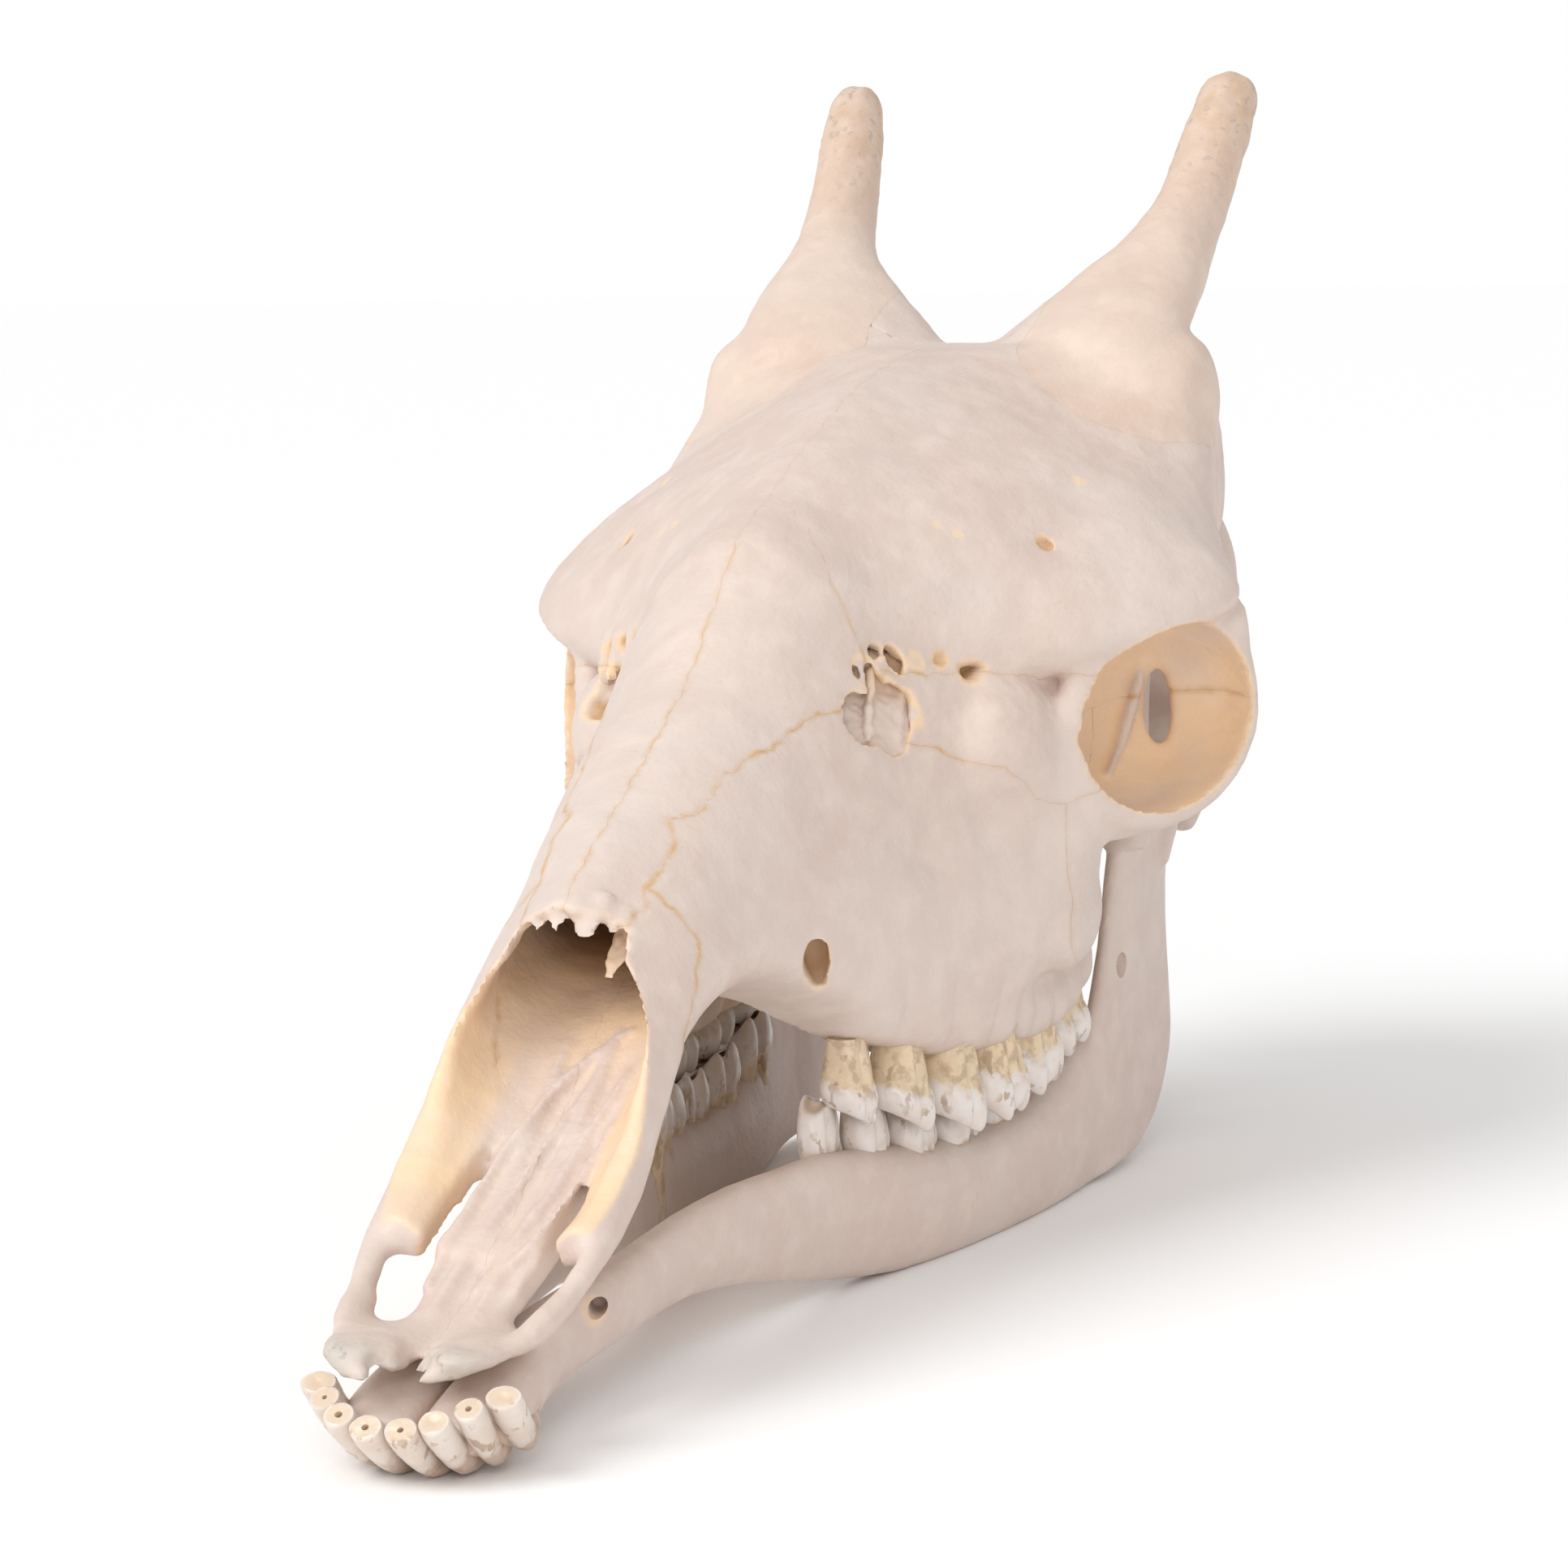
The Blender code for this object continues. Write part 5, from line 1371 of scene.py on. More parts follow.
def tooth_outline(lobes, upper):
    """The outline from above, from -1 to 1: u towards the cheek, v along the row."""
    outline = []
    for i in range(TOOTH_SIDES):
        turn = 2 * math.pi * i / TOOTH_SIDES
        u = signed_power(math.cos(turn), 0.8)
        v = signed_power(math.sin(turn), 0.8)
        cheek_side = u > 0
        ribs = 1.0
        if lobes == 2:
            ribs += 0.09 * math.exp(-((v / 0.10) ** 2)) * (cheek_side and upper)
            ribs -= 0.10 * math.exp(-(((abs(v) - 0.30) / 0.10) ** 2)) * (cheek_side and upper)
            ribs += 0.06 * math.exp(-(((abs(v) - 0.55) / 0.12) ** 2)) * (cheek_side and upper)
            ribs -= 0.36 * math.exp(-((v / 0.15) ** 2)) * (not cheek_side or not upper)
        else:
            ribs += 0.07 * math.exp(-((v / 0.16) ** 2)) * cheek_side
            ribs -= 0.10 * math.exp(-(((abs(v) - 0.42) / 0.12) ** 2)) * cheek_side
        outline.append((u * ribs, v))
    return outline


print("outline points of a cheek tooth:", len(tooth_outline(2, True)))

# %% [markdown]
# From root to crown the column swells and draws in again, and the biting face is hollowed in
# rings towards its middle, with a raised crescent for each lobe.

# %% One cheek tooth
CUSP = 1.3
TOOTH_OVERLAP = 1.08
# Share of the way from root to crown, and share of the full width there.
TOOTH_COLUMN = [
    (0.0, 0.62), (0.2, 0.72), (0.36, 0.79), (0.46, 0.82), (0.52, 0.83), (0.56, 0.835),
    (0.60, 0.87), (0.66, 0.94), (0.72, 0.985), (0.78, 1.0), (0.84, 0.985), (0.89, 0.955),
    (0.93, 0.92), (0.965, 0.87), (0.99, 0.81), (1.0, 0.76),
]
# On the biting face: share of the full width, and how deep it lies in millimetres.
BITING_FACE = [(0.70, 0.2), (0.62, 1.0), (0.50, 2.0), (0.36, 1.9), (0.24, 1.2), (0.12, 1.0), (0.04, 1.3)]


def cheek_tooth(name, centre, half_length, half_width, root_level, lobes, side, upper, seed):
    """One tooth: a waisted column with ribs and grooves, closed by a hollowed biting face."""
    outline = tooth_outline(lobes, upper)
    rows = [(share, swell, 0.0) for share, swell in TOOTH_COLUMN]
    rows += [(1.0, swell, depth) for swell, depth in BITING_FACE]
    rings = []
    along = []
    for share, swell, sink in rows:
        ring = []
        for u, v in outline:
            x = centre[0] + half_width * swell * u
            y = centre[1] + half_length * swell * v
            point = 2 * CUSP * (0.5 - 0.5 * math.cos(math.pi * lobes * (v * swell / 0.8 + 1)))
            point = point if lobes == 2 else 2 * CUSP * (1 - min(1, abs(v * swell / 0.8)) ** 1.5)
            edge = 1.2 - point * (1.25 if u > 0 or not upper else 0.8)
            sunk = sink * (1.0 if lobes == 2 or upper else 0.25)
            crown = bite_level(x, y) + (edge + sunk if upper else -edge - sunk - BITE_GAP)
            ring.append((side * x, y, root_level + (crown - root_level) * share))
            along.append(share if sink == 0 else 1.0 + sunk / 10)
        rings.append(ring)
    made = skin(name, rings)
    keep_along(made, along)
    places = places_of(made)
    uneven = 0.16 * noise(places * (1, 1, 0.5), 1.7, 90 + seed) + 0.12 * noise(places, 4, 91 + seed)
    set_places(made, places + places_of(made, "normal") * uneven[:, None])
    return made


def cheek_row(side, upper):
    """The six cheek teeth of one row."""
    made = []
    for index, (half_length, half_width, ux, uy, tip, lx, ly, lobes) in enumerate(CHEEK_TEETH):
        seed = index + 10 * (side + 1) + 5 * upper
        if upper:
            root = max(tip, -6) + UPPER_ROOT
            place = (ux, uy)
            width = half_width
        else:
            root = tip / 2 - LOWER_ROOT
            place = (lx, ly)
            width = half_width * LOWER_WIDTH
        length = half_length * TOOTH_OVERLAP
        made.append(cheek_tooth("tooth", place, length, width, root, lobes, side, upper, seed))
    return made


print("rings of a cheek tooth:", len(TOOTH_COLUMN) + len(BITING_FACE))

# %% [markdown]
# In front the lower jaw has eight cutting teeth and the upper jaw has none. Each is a curved
# peg with a flat, worn end. Where it is worn far, the hole of the pulp is open.

# %% One front tooth
# Tip, root, half width of the crown and half width of the neck, from the middle outwards.
FRONT_TEETH = [
    ((4.9, 10, -22), (4.8, 40, -36), 4.5, 3.2),
    ((13.2, 12, -20), (10.8, 42, -35), 4.2, 3.0),
    ((20.0, 18, -18), (15.5, 45, -33), 3.9, 2.8),
    ((25.8, 26, -17), (19.0, 52, -28), 5.0, 3.0),
]
FRONT_TOOTH_ELBOW = (15.0, -40.0)
# Along a front tooth: share of its length, share of the way from neck to crown width, thickness.
FRONT_TOOTH_SHAPE = [
    (0.0, 0.0, 3.8), (0.35, 0.05, 4.2), (0.6, 0.25, 4.2), (0.8, 0.7, 4.1), (0.93, 1.0, 4.1),
    (0.985, 0.97, 3.9), (1.0, 0.86, 3.4),
]
EDGE_WIDTH = 0.86
EDGE_THICKNESS = 3.4


def front_tooth(tip, root, crown, neck, side, seed=0, hole=0.0, sides=40):
    """A curved peg with a worn, nearly flat end and, where it is worn far, an open pulp hole."""
    tip = Vector(tip)
    root = Vector(root)
    elbow = Vector((tip.x, tip.y + FRONT_TOOTH_ELBOW[0], FRONT_TOOTH_ELBOW[1]))
    rows = [tuple(row) for row in smooth_rows(FRONT_TOOTH_SHAPE, 5)]
    rows += [(1.0, wide, EDGE_THICKNESS * wide / EDGE_WIDTH) for wide in (0.7, 0.5)]
    if hole:
        rows += [(1.0, hole, EDGE_THICKNESS * hole / EDGE_WIDTH)]
        rows += [(0.96, hole * 0.85, 3.2 * hole), (0.88, hole * 0.6, 2.4 * hole)]
    else:
        rows += [(0.995, 0.25, 1.0), (0.993, 0.05, 0.2)]
    outside = len(rows) - (5 if hole else 4)
    rings = []
    along = []
    for i, (share, wide, thick) in enumerate(rows):
        point = root.lerp(elbow, share).lerp(elbow.lerp(tip, share), share)
        ahead = ((elbow - root).lerp(tip - elbow, share)).normalized()
        across = ahead.cross(Vector((1, 0, 0))).normalized()
        level = across.cross(ahead).normalized()
        width = neck + (crown - neck) * wide if i < outside else crown * wide
        ring = []
        for k in range(sides):
            turn = 2 * math.pi * k / sides
            spot = point + level * (width * math.cos(turn)) + across * (thick * math.sin(turn))
            ring.append((side * spot.x, spot.y, spot.z))
            along.append(share if i < outside else 1.05 + 0.1 * (1 - share) * 10)
        rings.append(ring)
    made = skin("front_tooth", rings)
    keep_along(made, along)
    places = places_of(made)
    uneven = 0.18 * noise(places, 3.0, 120 + seed) + 0.08 * noise(places, 1.2, 121 + seed)
    set_places(made, places + places_of(made, "normal") * uneven[:, None])
    return made


print("front teeth:", 2 * len(FRONT_TEETH))

# %% [markdown]
# The teeth of a row stand side by side in one bone, so each row becomes one object. Joining
# the lists of points keeps every tooth a closed body of its own, and keeps the stored numbers.

# %% All the teeth
def joined(name, objects):
    """Several closed shells in one object, with their stored numbers."""
    points = []
    faces = []
    along = []
    for obj in objects:
        start = len(points)
        points += [tuple(v.co) for v in obj.data.vertices]
        faces += [[start + v for v in face.vertices] for face in obj.data.polygons]
        along += [item.value for item in obj.data.attributes["along"].data]
        bpy.data.objects.remove(obj, do_unlink=True)
    mesh = bpy.data.meshes.new(name)
    mesh.from_pydata(points, [], faces)
    made = bpy.data.objects.new(name, mesh)
    WORK.objects.link(made)
    store = mesh.attributes.new("along", "FLOAT", "POINT")
    store.data.foreach_set("value", np.array(along, np.float32))
    return made


PULP_HOLES = {1: (0.20, 0.0, 0.24, 0.0), -1: (0.22, 0.24, 0.16, 0.0)}
teeth = []
for side, word in ((1, "left"), (-1, "right")):
    teeth.append(joined(f"upper_cheek_teeth_{word}", cheek_row(side, True)))
    teeth.append(joined(f"lower_cheek_teeth_{word}", cheek_row(side, False)))
    pegs = [front_tooth(*row, side, i, PULP_HOLES[side][i]) for i, row in enumerate(FRONT_TEETH)]
    teeth.append(joined(f"front_teeth_{word}", pegs))
print("teeth:", {tooth.name: len(tooth.data.polygons) for tooth in teeth})

# %% [markdown]
# Old bone takes its colours from where it lies: ochre along the sutures, warm tan inside the
# hollows, partly their own colour and partly painted bounce light, grey at worn ends. Each vertex
# stores how near it is to such a place, and the materials read those numbers. A painted image
# could hold them too, but it would need a map of every bone; numbers on the vertices follow the
# skin whatever its shape.

# %% Measuring nearness
def tree_of(obj):
    """A search tree that finds the nearest place of a skin."""
    faces = [tuple(face.vertices) for face in obj.data.polygons]
    return BVHTree.FromPolygons(places_of(obj).tolist(), faces)


def box_of(obj):
    """The lowest and the highest corner of an object."""
    places = places_of(obj)
    return places.min(axis=0), places.max(axis=0)


def nearness(obj, tree, reach, box=None):
    """For each vertex 1 on the other surface, down to 0 at reach millimetres."""
    places = places_of(obj)
    found = np.zeros(len(places))
    close = np.arange(len(places))
    if box is not None:
        close = close[np.all((places > box[0] - reach) & (places < box[1] + reach), axis=1)]
    for index in close:
        hit = tree.find_nearest(places[index], reach)
        if hit[0] is not None:
            found[index] = 1 - hit[3] / reach
    return found


def add_field(obj, name, values):
    """Stores one number for each vertex under a name that the materials read."""
    store = obj.data.attributes.new(name, "FLOAT", "POINT")
    store.data.foreach_set("value", np.asarray(values, np.float32))


trees = {obj.name: tree_of(obj) for obj in bones}
boxes = {obj.name: box_of(obj) for obj in bones}
hollow_tree = BVHTree.FromPolygons(HOLLOW_SKIN[0].tolist(), HOLLOW_SKIN[1])
tooth_trees = [(tree_of(obj), box_of(obj)) for obj in teeth]
print("search trees:", len(trees) + len(tooth_trees) + 1)

# %% [markdown]
# Ochre lies along the sutures of the face. It is strong on the side of the snout, weak on the
# forehead and the cheek, and hardly there on the walls inside the nose and behind the eye. The
# small pits beside the eye gaps are stained with the same colour.

# %% Ochre along the sutures
SUTURE_REACH = 1.1


def seam_nearness(obj):
    """How near each point is to any other bone."""
    low, high = boxes[obj.name]
    suture = np.zeros(len(obj.data.vertices))
    for other in bones:
        if other is obj:
            continue
        other_low, other_high = boxes[other.name]
        if np.all(other_low < high + 1.5) and np.all(other_high > low - 1.5):
            near = nearness(obj, trees[other.name], SUTURE_REACH, boxes[other.name])
            suture = np.maximum(suture, near)
    return suture


def suture_shown(obj, places):
    """How much of the ochre shows at each point."""
    forehead = np.clip((places[:, 2] - 125) / 35, 0, 1) * (places[:, 1] > 262)
    middle = (np.abs(places[:, 0]) < 2.5) * (places[:, 1] < 262)
    cheek = (places[:, 2] < 84) * (places[:, 1] > 290)
    nose_level = 0.57 * (places[:, 1] - 64) + 6
    inside_nose = (places[:, 1] < 190) * (np.abs(places[:, 0]) < 22) * (places[:, 2] < nose_level)
    inner_wall = (places[:, 1] > 334) * (np.abs(places[:, 0]) < 84) * (nearness(obj, hollow_tree, 1.2) > 0.2)
    faint = 0.6 * (places[:, 1] > 285) * (places[:, 1] < 332)
    faint = faint * (places[:, 2] > 84) * (places[:, 2] < 125)
    shown = (1 - 0.86 * forehead) * (1 - 0.35 * middle) * (1 - 0.75 * cheek) * (1 - faint)
    return shown * (1 - 0.92 * np.maximum(inside_nose, inner_wall))


def pit_stain(places):
    """1 round each small pit beside the eye gaps."""
    stain = np.zeros(len(places))
    for side in (1, -1):
        for place, way, size in EYE_PITS[side]:
            deep = np.array(place) - 4.0 * np.array(way)
            apart = np.linalg.norm(places * (side, 1, 1) - deep, axis=1)
            near = np.clip((size + 3.4 - apart) / 1.2, 0, 1) * (places[:, 0] * side > 0)
            stain = np.maximum(stain, near)
    return stain


for obj in bones:
    places = places_of(obj)
    ochre = np.clip(seam_nearness(obj) * 1.6, 0, 1) * suture_shown(obj, places)
    add_field(obj, "suture", np.maximum(ochre, pit_stain(places)))
for obj in jaws:
    places = places_of(obj)
    ochre = np.clip(1 - np.abs(places[:, 0]) / 1.2, 0, 1) * (places[:, 1] < 110)
    add_field(obj, "suture", ochre)
print("ochre on", len(bones) + len(jaws), "bones")

# %% [markdown]
# The inside of the hollows is a warm tan, partly its own colour and partly painted bounce light,
# bone darkens round each tooth, and the tips of the snout and of the horns are worn grey or
# brown. Three more numbers say where.

# %% Hollows, tooth sockets and worn ends
HOLLOW_REACH = 1.4
JAW_SOCKET_REACH = 2.0
UPPER_SOCKET_REACH = 3.0
CHIN_HOLE_MIDDLE = (22, 92, -15)


def chin_hollow(places):
    """1 inside the hole of the chin."""
    x, y, z = CHIN_HOLE_MIDDLE
    offset = (places - (0, y, z)) / (1, 1.3, 1)
    offset = offset - (np.sign(places[:, 0]) * x)[:, None] * (1, 0, 0)
    return np.clip((5.2 - np.linalg.norm(offset, axis=1)) / 1.2, 0, 1)


def skull_hollow(obj, places):
    """1 in the hollows of the skull, where the tan and its painted bounce light go, and little on the floor
    of the nose, which is pale.
    """
    hollow = np.clip(nearness(obj, hollow_tree, HOLLOW_REACH) * 1.8, 0, 1)
    nose_floor = np.clip((150 - places[:, 1]) / 20, 0, 1)
    nose_floor = nose_floor * np.clip((20 - np.abs(places[:, 0])) / 4, 0, 1)
    return hollow * (1 - 0.85 * nose_floor)


for obj in bones + jaws:
    places = places_of(obj)
    jaw = obj in jaws
    add_field(obj, "hollow", chin_hollow(places) if jaw else skull_hollow(obj, places))
    reach = JAW_SOCKET_REACH if jaw else UPPER_SOCKET_REACH
    socket = np.zeros(len(places))
    for tree, box in tooth_trees:
        socket = np.maximum(socket, nearness(obj, tree, reach, box))
    add_field(obj, "socket", np.clip(socket * 1.3, 0, 1))
    worn = np.clip((34 - places[:, 1]) / 9, 0, 1) * (not jaw)
    worn = np.maximum(worn, np.clip((places[:, 2] - 222) / 45, 0, 1))
    add_field(obj, "worn", worn)
for obj in scrolls:
    places = places_of(obj)
    for name in ("suture", "socket", "worn"):
        add_field(obj, name, np.zeros(len(places)))
    # The eye-gap scrolls take the hollow tan with its painted bounce light, most at their top; the nose
    # scroll takes it all over.
    if obj.name.startswith("eye"):
        add_field(obj, "hollow", np.clip((places[:, 2] - 112) / 8, 0.12, 1))
    else:
        add_field(obj, "hollow", np.full(len(places), 0.8))
print("colour numbers on", len(bones) + len(jaws) + len(scrolls), "pieces")

# %% [markdown]
# A node material is a graph, and most of its steps are alike: take a noise or a stored number,
# bring it to a range, and let it choose between two colours. A small helper class turns each
# step into one line. Noise is read in the skull's own space, in metres on the floor.

# %% A helper for materials
class Look:
    """A small helper round one node material."""

    def __init__(self, name):
        self.material = bpy.data.materials.new(name)
        self.material.use_nodes = True
        self.tree = self.material.node_tree
        self.shader = self.tree.nodes["Principled BSDF"]
        self.space = self.tree.nodes.new("ShaderNodeTexCoord").outputs["Object"]

    def field(self, name):
        """A number that is stored on the vertices."""
        node = self.tree.nodes.new("ShaderNodeAttribute")
        node.attribute_name = name
        return node.outputs["Fac"]

    def noise(self, scale, detail=4.0, stretch=None):
        """A cloudy pattern; scale is how many of its patches fit in a metre."""
        node = self.tree.nodes.new("ShaderNodeTexNoise")
        node.inputs["Scale"].default_value = scale
        node.inputs["Detail"].default_value = detail
        space = self.space
        if stretch:
            mapping = self.tree.nodes.new("ShaderNodeMapping")
            mapping.inputs["Scale"].default_value = stretch
            self.tree.links.new(space, mapping.inputs["Vector"])
            space = mapping.outputs["Vector"]
        self.tree.links.new(space, node.inputs["Vector"])
        return node.outputs["Fac"]

    def ranged(self, value, low, high, to_low=0.0, to_high=1.0):
        """The value brought from one range to another, and held inside it."""
        node = self.tree.nodes.new("ShaderNodeMapRange")
        node.inputs["From Min"].default_value = low
        node.inputs["From Max"].default_value = high
        node.inputs["To Min"].default_value = to_low
        node.inputs["To Max"].default_value = to_high
        self.tree.links.new(value, node.inputs["Value"])
        return node.outputs["Result"]

    def maths(self, operation, a, b):
        """Two values, or a value and a plain number, put together."""
        node = self.tree.nodes.new("ShaderNodeMath")
        node.operation = operation
        for socket, value in zip(node.inputs, (a, b)):
            if isinstance(value, (int, float)):
                socket.default_value = value
            else:
                self.tree.links.new(value, socket)
        return node.outputs["Value"]

    def blend(self, share, a, b):
        """Colour a where the share is 0, colour b where it is 1."""
        node = self.tree.nodes.new("ShaderNodeMix")
        node.data_type = "RGBA"
        self.tree.links.new(share, node.inputs["Factor"])
        for socket, value in ((node.inputs["A"], a), (node.inputs["B"], b)):
            target = [item for item in node.inputs if item.name == socket.name and item.type == "RGBA"][0]
            if isinstance(value, tuple):
                target.default_value = (*value, 1)
            else:
                self.tree.links.new(value, target)
        return [item for item in node.outputs if item.type == "RGBA"][0]

    def finish(self, colour, roughness, heights, distance):
        """Joins colour, sheen and fine grain to the shader."""
        self.tree.links.new(colour, self.shader.inputs["Base Color"])
        self.tree.links.new(roughness, self.shader.inputs["Roughness"])
        bump = self.tree.nodes.new("ShaderNodeBump")
        bump.inputs["Strength"].default_value = 0.6
        bump.inputs["Distance"].default_value = distance
        self.tree.links.new(heights, bump.inputs["Height"])
        self.tree.links.new(bump.outputs["Normal"], self.shader.inputs["Normal"])
        return self.material


print("a material starts with a shader and the object's own space")

# %% [markdown]
# Bone is pale ivory with a pink cast and a dull sheen. Over two soft patterns come freckles,
# tan with painted bounce light in the hollows, broken ochre in the sutures, brown round the
# teeth, and the worn ends.
# The sheen is dull and uneven, and two fine noises make the grain that catches the light.

# %% Dry bone
FRECKLE = (0.62, 0.47, 0.34)
# Tan of the hollows, brighter than the bone: partly their own colour, partly painted bounce light.
HOLLOW_TAN_AND_BOUNCE = (0.85, 0.62, 0.40)
SUTURE_OCHRE = (0.63, 0.41, 0.22)
ROOT_BROWN = (0.48, 0.33, 0.19)
WORN_GREY = (0.36, 0.32, 0.28)


def dry_bone(name, ivory, pink, tip):
    """Bone from two soft colours, with the colour of its worn ends."""
    look = Look(name)
    colour = look.blend(look.ranged(look.noise(16), 0.38, 0.62), ivory, pink)
    pale = tuple(min(1.0, c * 1.09) for c in ivory)
    colour = look.blend(look.ranged(look.noise(95), 0.45, 0.7, 0, 0.6), colour, pale)
    specks = look.ranged(look.noise(420, 6), 0.60, 0.72, 0, 0.35)
    freckle = look.maths("MULTIPLY", specks, look.ranged(look.noise(30), 0.4, 0.65))
    colour = look.blend(freckle, colour, FRECKLE)
    uneven = look.ranged(look.noise(38), 0.3, 0.62, 0.35, 0.95)
    # Tan with painted bounce light inside the hollows.
    warm = look.maths("MULTIPLY", look.field("hollow"), uneven)
    colour = look.blend(warm, colour, HOLLOW_TAN_AND_BOUNCE)
    broken = look.ranged(look.noise(150, 5), 0.36, 0.6, 0.1, 0.95)
    line = look.maths("MULTIPLY", look.field("suture"), broken)
    colour = look.blend(line, colour, SUTURE_OCHRE)
    patchy = look.ranged(look.noise(260), 0.4, 0.62, 0.05, 0.55)
    root = look.maths("MULTIPLY", look.ranged(look.field("socket"), 0.5, 1.0), patchy)
    colour = look.blend(root, colour, ROOT_BROWN)
    rubbed = look.ranged(look.noise(130, 6), 0.35, 0.65, 0.25, 0.95)
    colour = look.blend(look.maths("MULTIPLY", look.field("worn"), rubbed), colour, tip)
    pores = look.ranged(look.noise(330, 6), 0.58, 0.66, 0, 0.6)
    colour = look.blend(look.maths("MULTIPLY", look.field("worn"), pores), colour, WORN_GREY)
    heights = look.maths("ADD", look.noise(520, 8), look.maths("MULTIPLY", look.noise(150, 4), 1.4))
    rough = look.ranged(look.noise(60), 0.3, 0.7, 0.44, 0.62)
    return look.finish(colour, rough, heights, 0.00035)


bone_look = dry_bone("dry_bone", (0.68, 0.57, 0.505), (0.66, 0.525, 0.46), (0.56, 0.51, 0.45))
horn_look = dry_bone("pitted_horn_bone", (0.70, 0.565, 0.475), (0.68, 0.515, 0.42), (0.60, 0.42, 0.29))
print("bone:", bone_look.name, "and", horn_look.name)

# %% [markdown]
# Enamel is whiter and glossier than bone. The number stored along each tooth tells where the
# creamy cement of the neck ends, where brown lines run down, and where the worn face shows the
# darker dentine and the open pulp.

# %% Enamel
LINE_BROWN = (0.38, 0.25, 0.15)
PULP = (0.16, 0.08, 0.04)
CREAM_SHADE = (0.95, 0.89, 0.84)


def enamel(name, crown_from, dentine, cement, enamel_tone=(0.80, 0.74, 0.70)):
    """Enamel above crown_from, cement below it and dentine on the worn face."""
    look = Look(name)
    along = look.field("along")
    cream = tuple(c * shade for c, shade in zip(enamel_tone, CREAM_SHADE))
    colour = look.blend(look.ranged(look.noise(120), 0.4, 0.65), enamel_tone, cream)
    ragged = look.maths("ADD", along, look.ranged(look.noise(260, 5), 0.2, 0.8, -0.07, 0.07))
    neck = look.ranged(ragged, crown_from + 0.05, crown_from - 0.02)
    creamy = look.blend(look.ranged(look.noise(200), 0.4, 0.6), cement, tuple(c * 0.88 for c in cement))
    colour = look.blend(neck, colour, creamy)
    streaks = look.ranged(look.noise(330, 7, (1, 1, 0.45)), 0.56, 0.60, 0, 0.7)
    line = look.maths("MULTIPLY", streaks, look.ranged(look.noise(110), 0.45, 0.6))
    stains = look.ranged(look.noise(240, 6), 0.50, 0.60, 0, 0.5)
    low = look.maths("MULTIPLY", look.ranged(along, crown_from + 0.16, crown_from), stains)
    colour = look.blend(look.maths("MAXIMUM", line, low), colour, LINE_BROWN)
    colour = look.blend(look.ranged(along, 1.01, 1.06), colour, dentine)
    colour = look.blend(look.ranged(along, 1.10, 1.16), colour, PULP)
    rough = look.ranged(neck, 0, 1, 0.22, 0.55)
    return look.finish(colour, rough, look.noise(600, 6), 0.00018)


cheek_look = enamel("cheek_tooth_enamel", 0.62, (0.50, 0.36, 0.24), (0.80, 0.63, 0.43))
# The front teeth take a darker, tanner enamel and cement than the cheek teeth: partly their own tan, partly
# painted shade for the shadow that they lie in.
front_shaded_look = enamel(
    "front_tooth_enamel_painted_shade", 0.60, (0.70, 0.55, 0.40), (0.62, 0.47, 0.38), (0.74, 0.65, 0.58)
)
print("enamel:", cheek_look.name, "and", front_shaded_look.name)

# %% [markdown]
# Every finished piece moves from skull millimetres to its place on the floor. The place goes
# into its mesh, so the piece itself stays at the origin, unturned and unscaled. Then it gets
# its finish, and the solid that it stands for is hidden.

# %% Laying the skull down
NODE_OF = {}
for word in ("left", "right"):
    for name in ("nasal", "frontal", "premaxilla", "maxilla"):
        NODE_OF[f"{name}_bone_{word}"] = f"{name}_{word}"
    NODE_OF[f"lacrimal_bone_{word}"] = f"lacrimal_{word}"
    NODE_OF[f"zygomatic_bone_{word}"] = f"zygomatic_{word}"
    NODE_OF[f"ossicone_{word}_bone"] = f"ossicone_{word}"
    NODE_OF[f"mandible_{word}_bone"] = f"mandible_{word}"
    NODE_OF[f"upper_cheek_teeth_{word}"] = f"maxilla_{word}"
    NODE_OF[f"lower_cheek_teeth_{word}"] = f"mandible_{word}"
    NODE_OF[f"front_teeth_{word}"] = f"mandible_{word}"
NODE_OF["braincase_bone"] = "braincase"
SHARP_ANGLE = math.radians(50)
SKULL = bpy.data.collections.new("skull")
bpy.context.scene.collection.children.link(SKULL)


def finished(obj, look):
    """Lays a piece down, gives it its finish and hides the solid that it stands for."""
    below = obj.name.startswith(("mandible", "lower", "front_teeth"))
    places = to_floor(places_of(obj), not below)
    places[:, 2] = np.maximum(places[:, 2], 0.0)
    set_places(obj, places)
    obj.data.materials.clear()
    obj.data.materials.append(look)
    obj.data.polygons.foreach_set("use_smooth", [True] * len(obj.data.polygons))
    obj.data.set_sharp_from_angle(angle=SHARP_ANGLE)
    WORK.objects.unlink(obj)
    SKULL.objects.link(obj)
    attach(obj, "root")
    if obj.name in NODE_OF:
        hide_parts(NODE_OF[obj.name])


for obj in bones:
    horn = obj.name.startswith("ossicone")
    finished(obj, horn_look if horn else bone_look)
for obj in jaws:
    finished(obj, bone_look)
for obj in scrolls:
    finished(obj, bone_look)
for obj in teeth:
    front = "front" in obj.name
    finished(obj, front_shaded_look if front else cheek_look)
bpy.data.collections.remove(WORK)

# %% [markdown]
# The floor is plain and pale, so that the bone is the only thing with colour. It is marked as
# a stage, which is not part of the object.

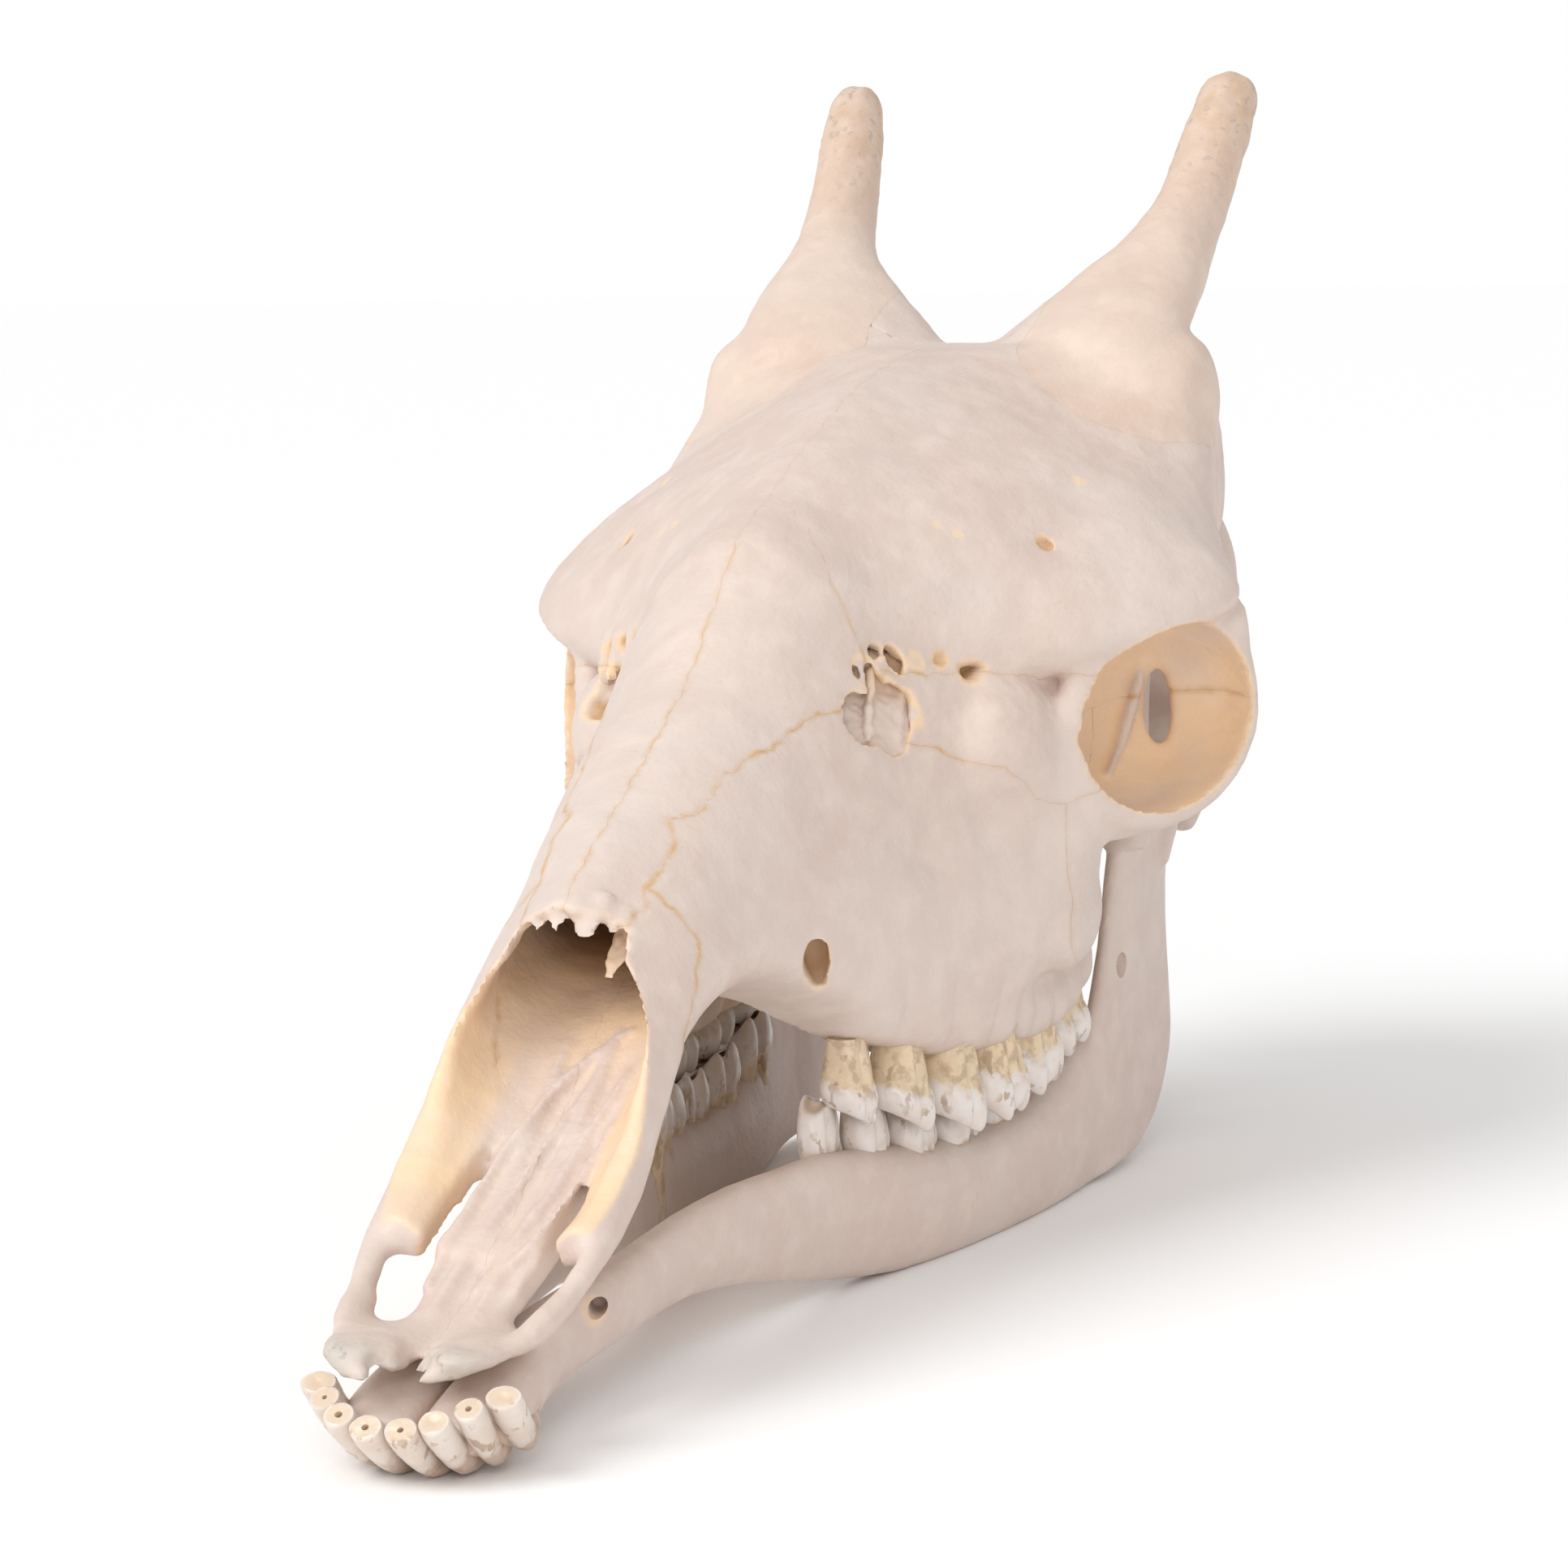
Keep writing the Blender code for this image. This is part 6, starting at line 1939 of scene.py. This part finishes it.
# %% The floor
FLOOR_REACH = 6
CORNERS = [(-1, -1), (1, -1), (1, 1), (-1, 1)]
floor_mesh = bpy.data.meshes.new("floor")
floor_places = [(x * FLOOR_REACH, y * FLOOR_REACH, 0) for x, y in CORNERS]
floor_mesh.from_pydata(floor_places, [], [(0, 1, 2, 3)])
floor = bpy.data.objects.new("floor", floor_mesh)
bpy.context.scene.collection.objects.link(floor)
pale = bpy.data.materials.new("pale_floor")
pale.use_nodes = True
pale_shader = pale.node_tree.nodes["Principled BSDF"]
pale_shader.inputs["Base Color"].default_value = (0.985, 0.985, 0.985, 1)
pale_shader.inputs["Roughness"].default_value = 0.8
floor.data.materials.append(pale)
floor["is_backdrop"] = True
print("floor:", 2 * FLOOR_REACH, "m wide")

# %% [markdown]
# A white sky gives soft light from all sides. Seen directly it is pure white, and as a light it
# is weaker, so that the lamps can model the form. One broad sun draws the soft shadow, and two
# square lamps from the front lift the nose and the teeth out of it.

# %% The light
SKY_SEEN = 1.0
SKY_LIGHT = 0.7
AIM = Vector((0, 0, 0.15))
# Name, kind, place in metres, size in metres (for the sun its angle) and power.
LAMPS = [
    ("key_light", "SUN", (-0.70, -0.90, 1.25), 0.6, 1.5),
    ("front_light", "AREA", (0.40, -1.5, 0.85), 0.5, 3.6),
    ("low_light", "AREA", (0.95, -1.35, 0.30), 0.6, 2.2),
]
world = bpy.data.worlds.new("studio")
bpy.context.scene.world = world
world.use_nodes = True
sky = world.node_tree.nodes["Background"]
sky.inputs["Color"].default_value = (1, 1, 1, 1)
seen = world.node_tree.nodes.new("ShaderNodeLightPath")
strength = world.node_tree.nodes.new("ShaderNodeMath")
strength.operation = "MULTIPLY_ADD"
strength.inputs[1].default_value = SKY_SEEN - SKY_LIGHT
strength.inputs[2].default_value = SKY_LIGHT
world.node_tree.links.new(seen.outputs["Is Camera Ray"], strength.inputs[0])
world.node_tree.links.new(strength.outputs["Value"], sky.inputs["Strength"])
for name, kind, place, size, power in LAMPS:
    lamp = bpy.data.lights.new(name, kind)
    if kind == "SUN":
        lamp.angle = size
    else:
        lamp.size = size
    lamp.energy = power
    light = bpy.data.objects.new(name, lamp)
    light.location = place
    light.rotation_euler = (AIM - Vector(place)).to_track_quat("-Z", "Y").to_euler()
    bpy.context.scene.collection.objects.link(light)
bpy.context.scene.view_settings.view_transform = "Standard"
print("lamps:", [row[0] for row in LAMPS])

# %% [markdown]
# The photo was taken from in front and to the animal's left, a little above the snout. The
# camera's place and its three directions were found in the skull's own frame, so they are laid
# down on the floor with the same turn and lift as the bones.

# %% The camera
LENS = 113.44
SENSOR = 36
EYE = Vector((561, -1019, 360))
EYE_RIGHT = Vector((0.92166515, 0.38429111, -0.05341994))
EYE_UP = Vector((-0.02492226, 0.19604001, 0.98027914))
EYE_AHEAD = Vector((-0.38718501, 0.90215778, -0.19026065))
lens = bpy.data.cameras.new("camera")
lens.lens = LENS
lens.sensor_width = SENSOR
lens.clip_start = 0.05
camera = bpy.data.objects.new("camera", lens)
lay = Matrix.Rotation(FALL, 4, "X")
place = (lay @ EYE + Vector(MOVE)) * MM
turn = Matrix((lay @ EYE_RIGHT, lay @ EYE_UP, -(lay @ EYE_AHEAD))).transposed().to_4x4()
camera.matrix_world = Matrix.Translation(place) @ turn
bpy.context.scene.collection.objects.link(camera)
bpy.context.scene.camera = camera
print("camera at", [round(value, 3) for value in place], "m")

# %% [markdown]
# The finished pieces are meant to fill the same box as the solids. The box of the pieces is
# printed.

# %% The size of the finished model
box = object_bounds()
print("pieces reach", [list(corner) for corner in box])
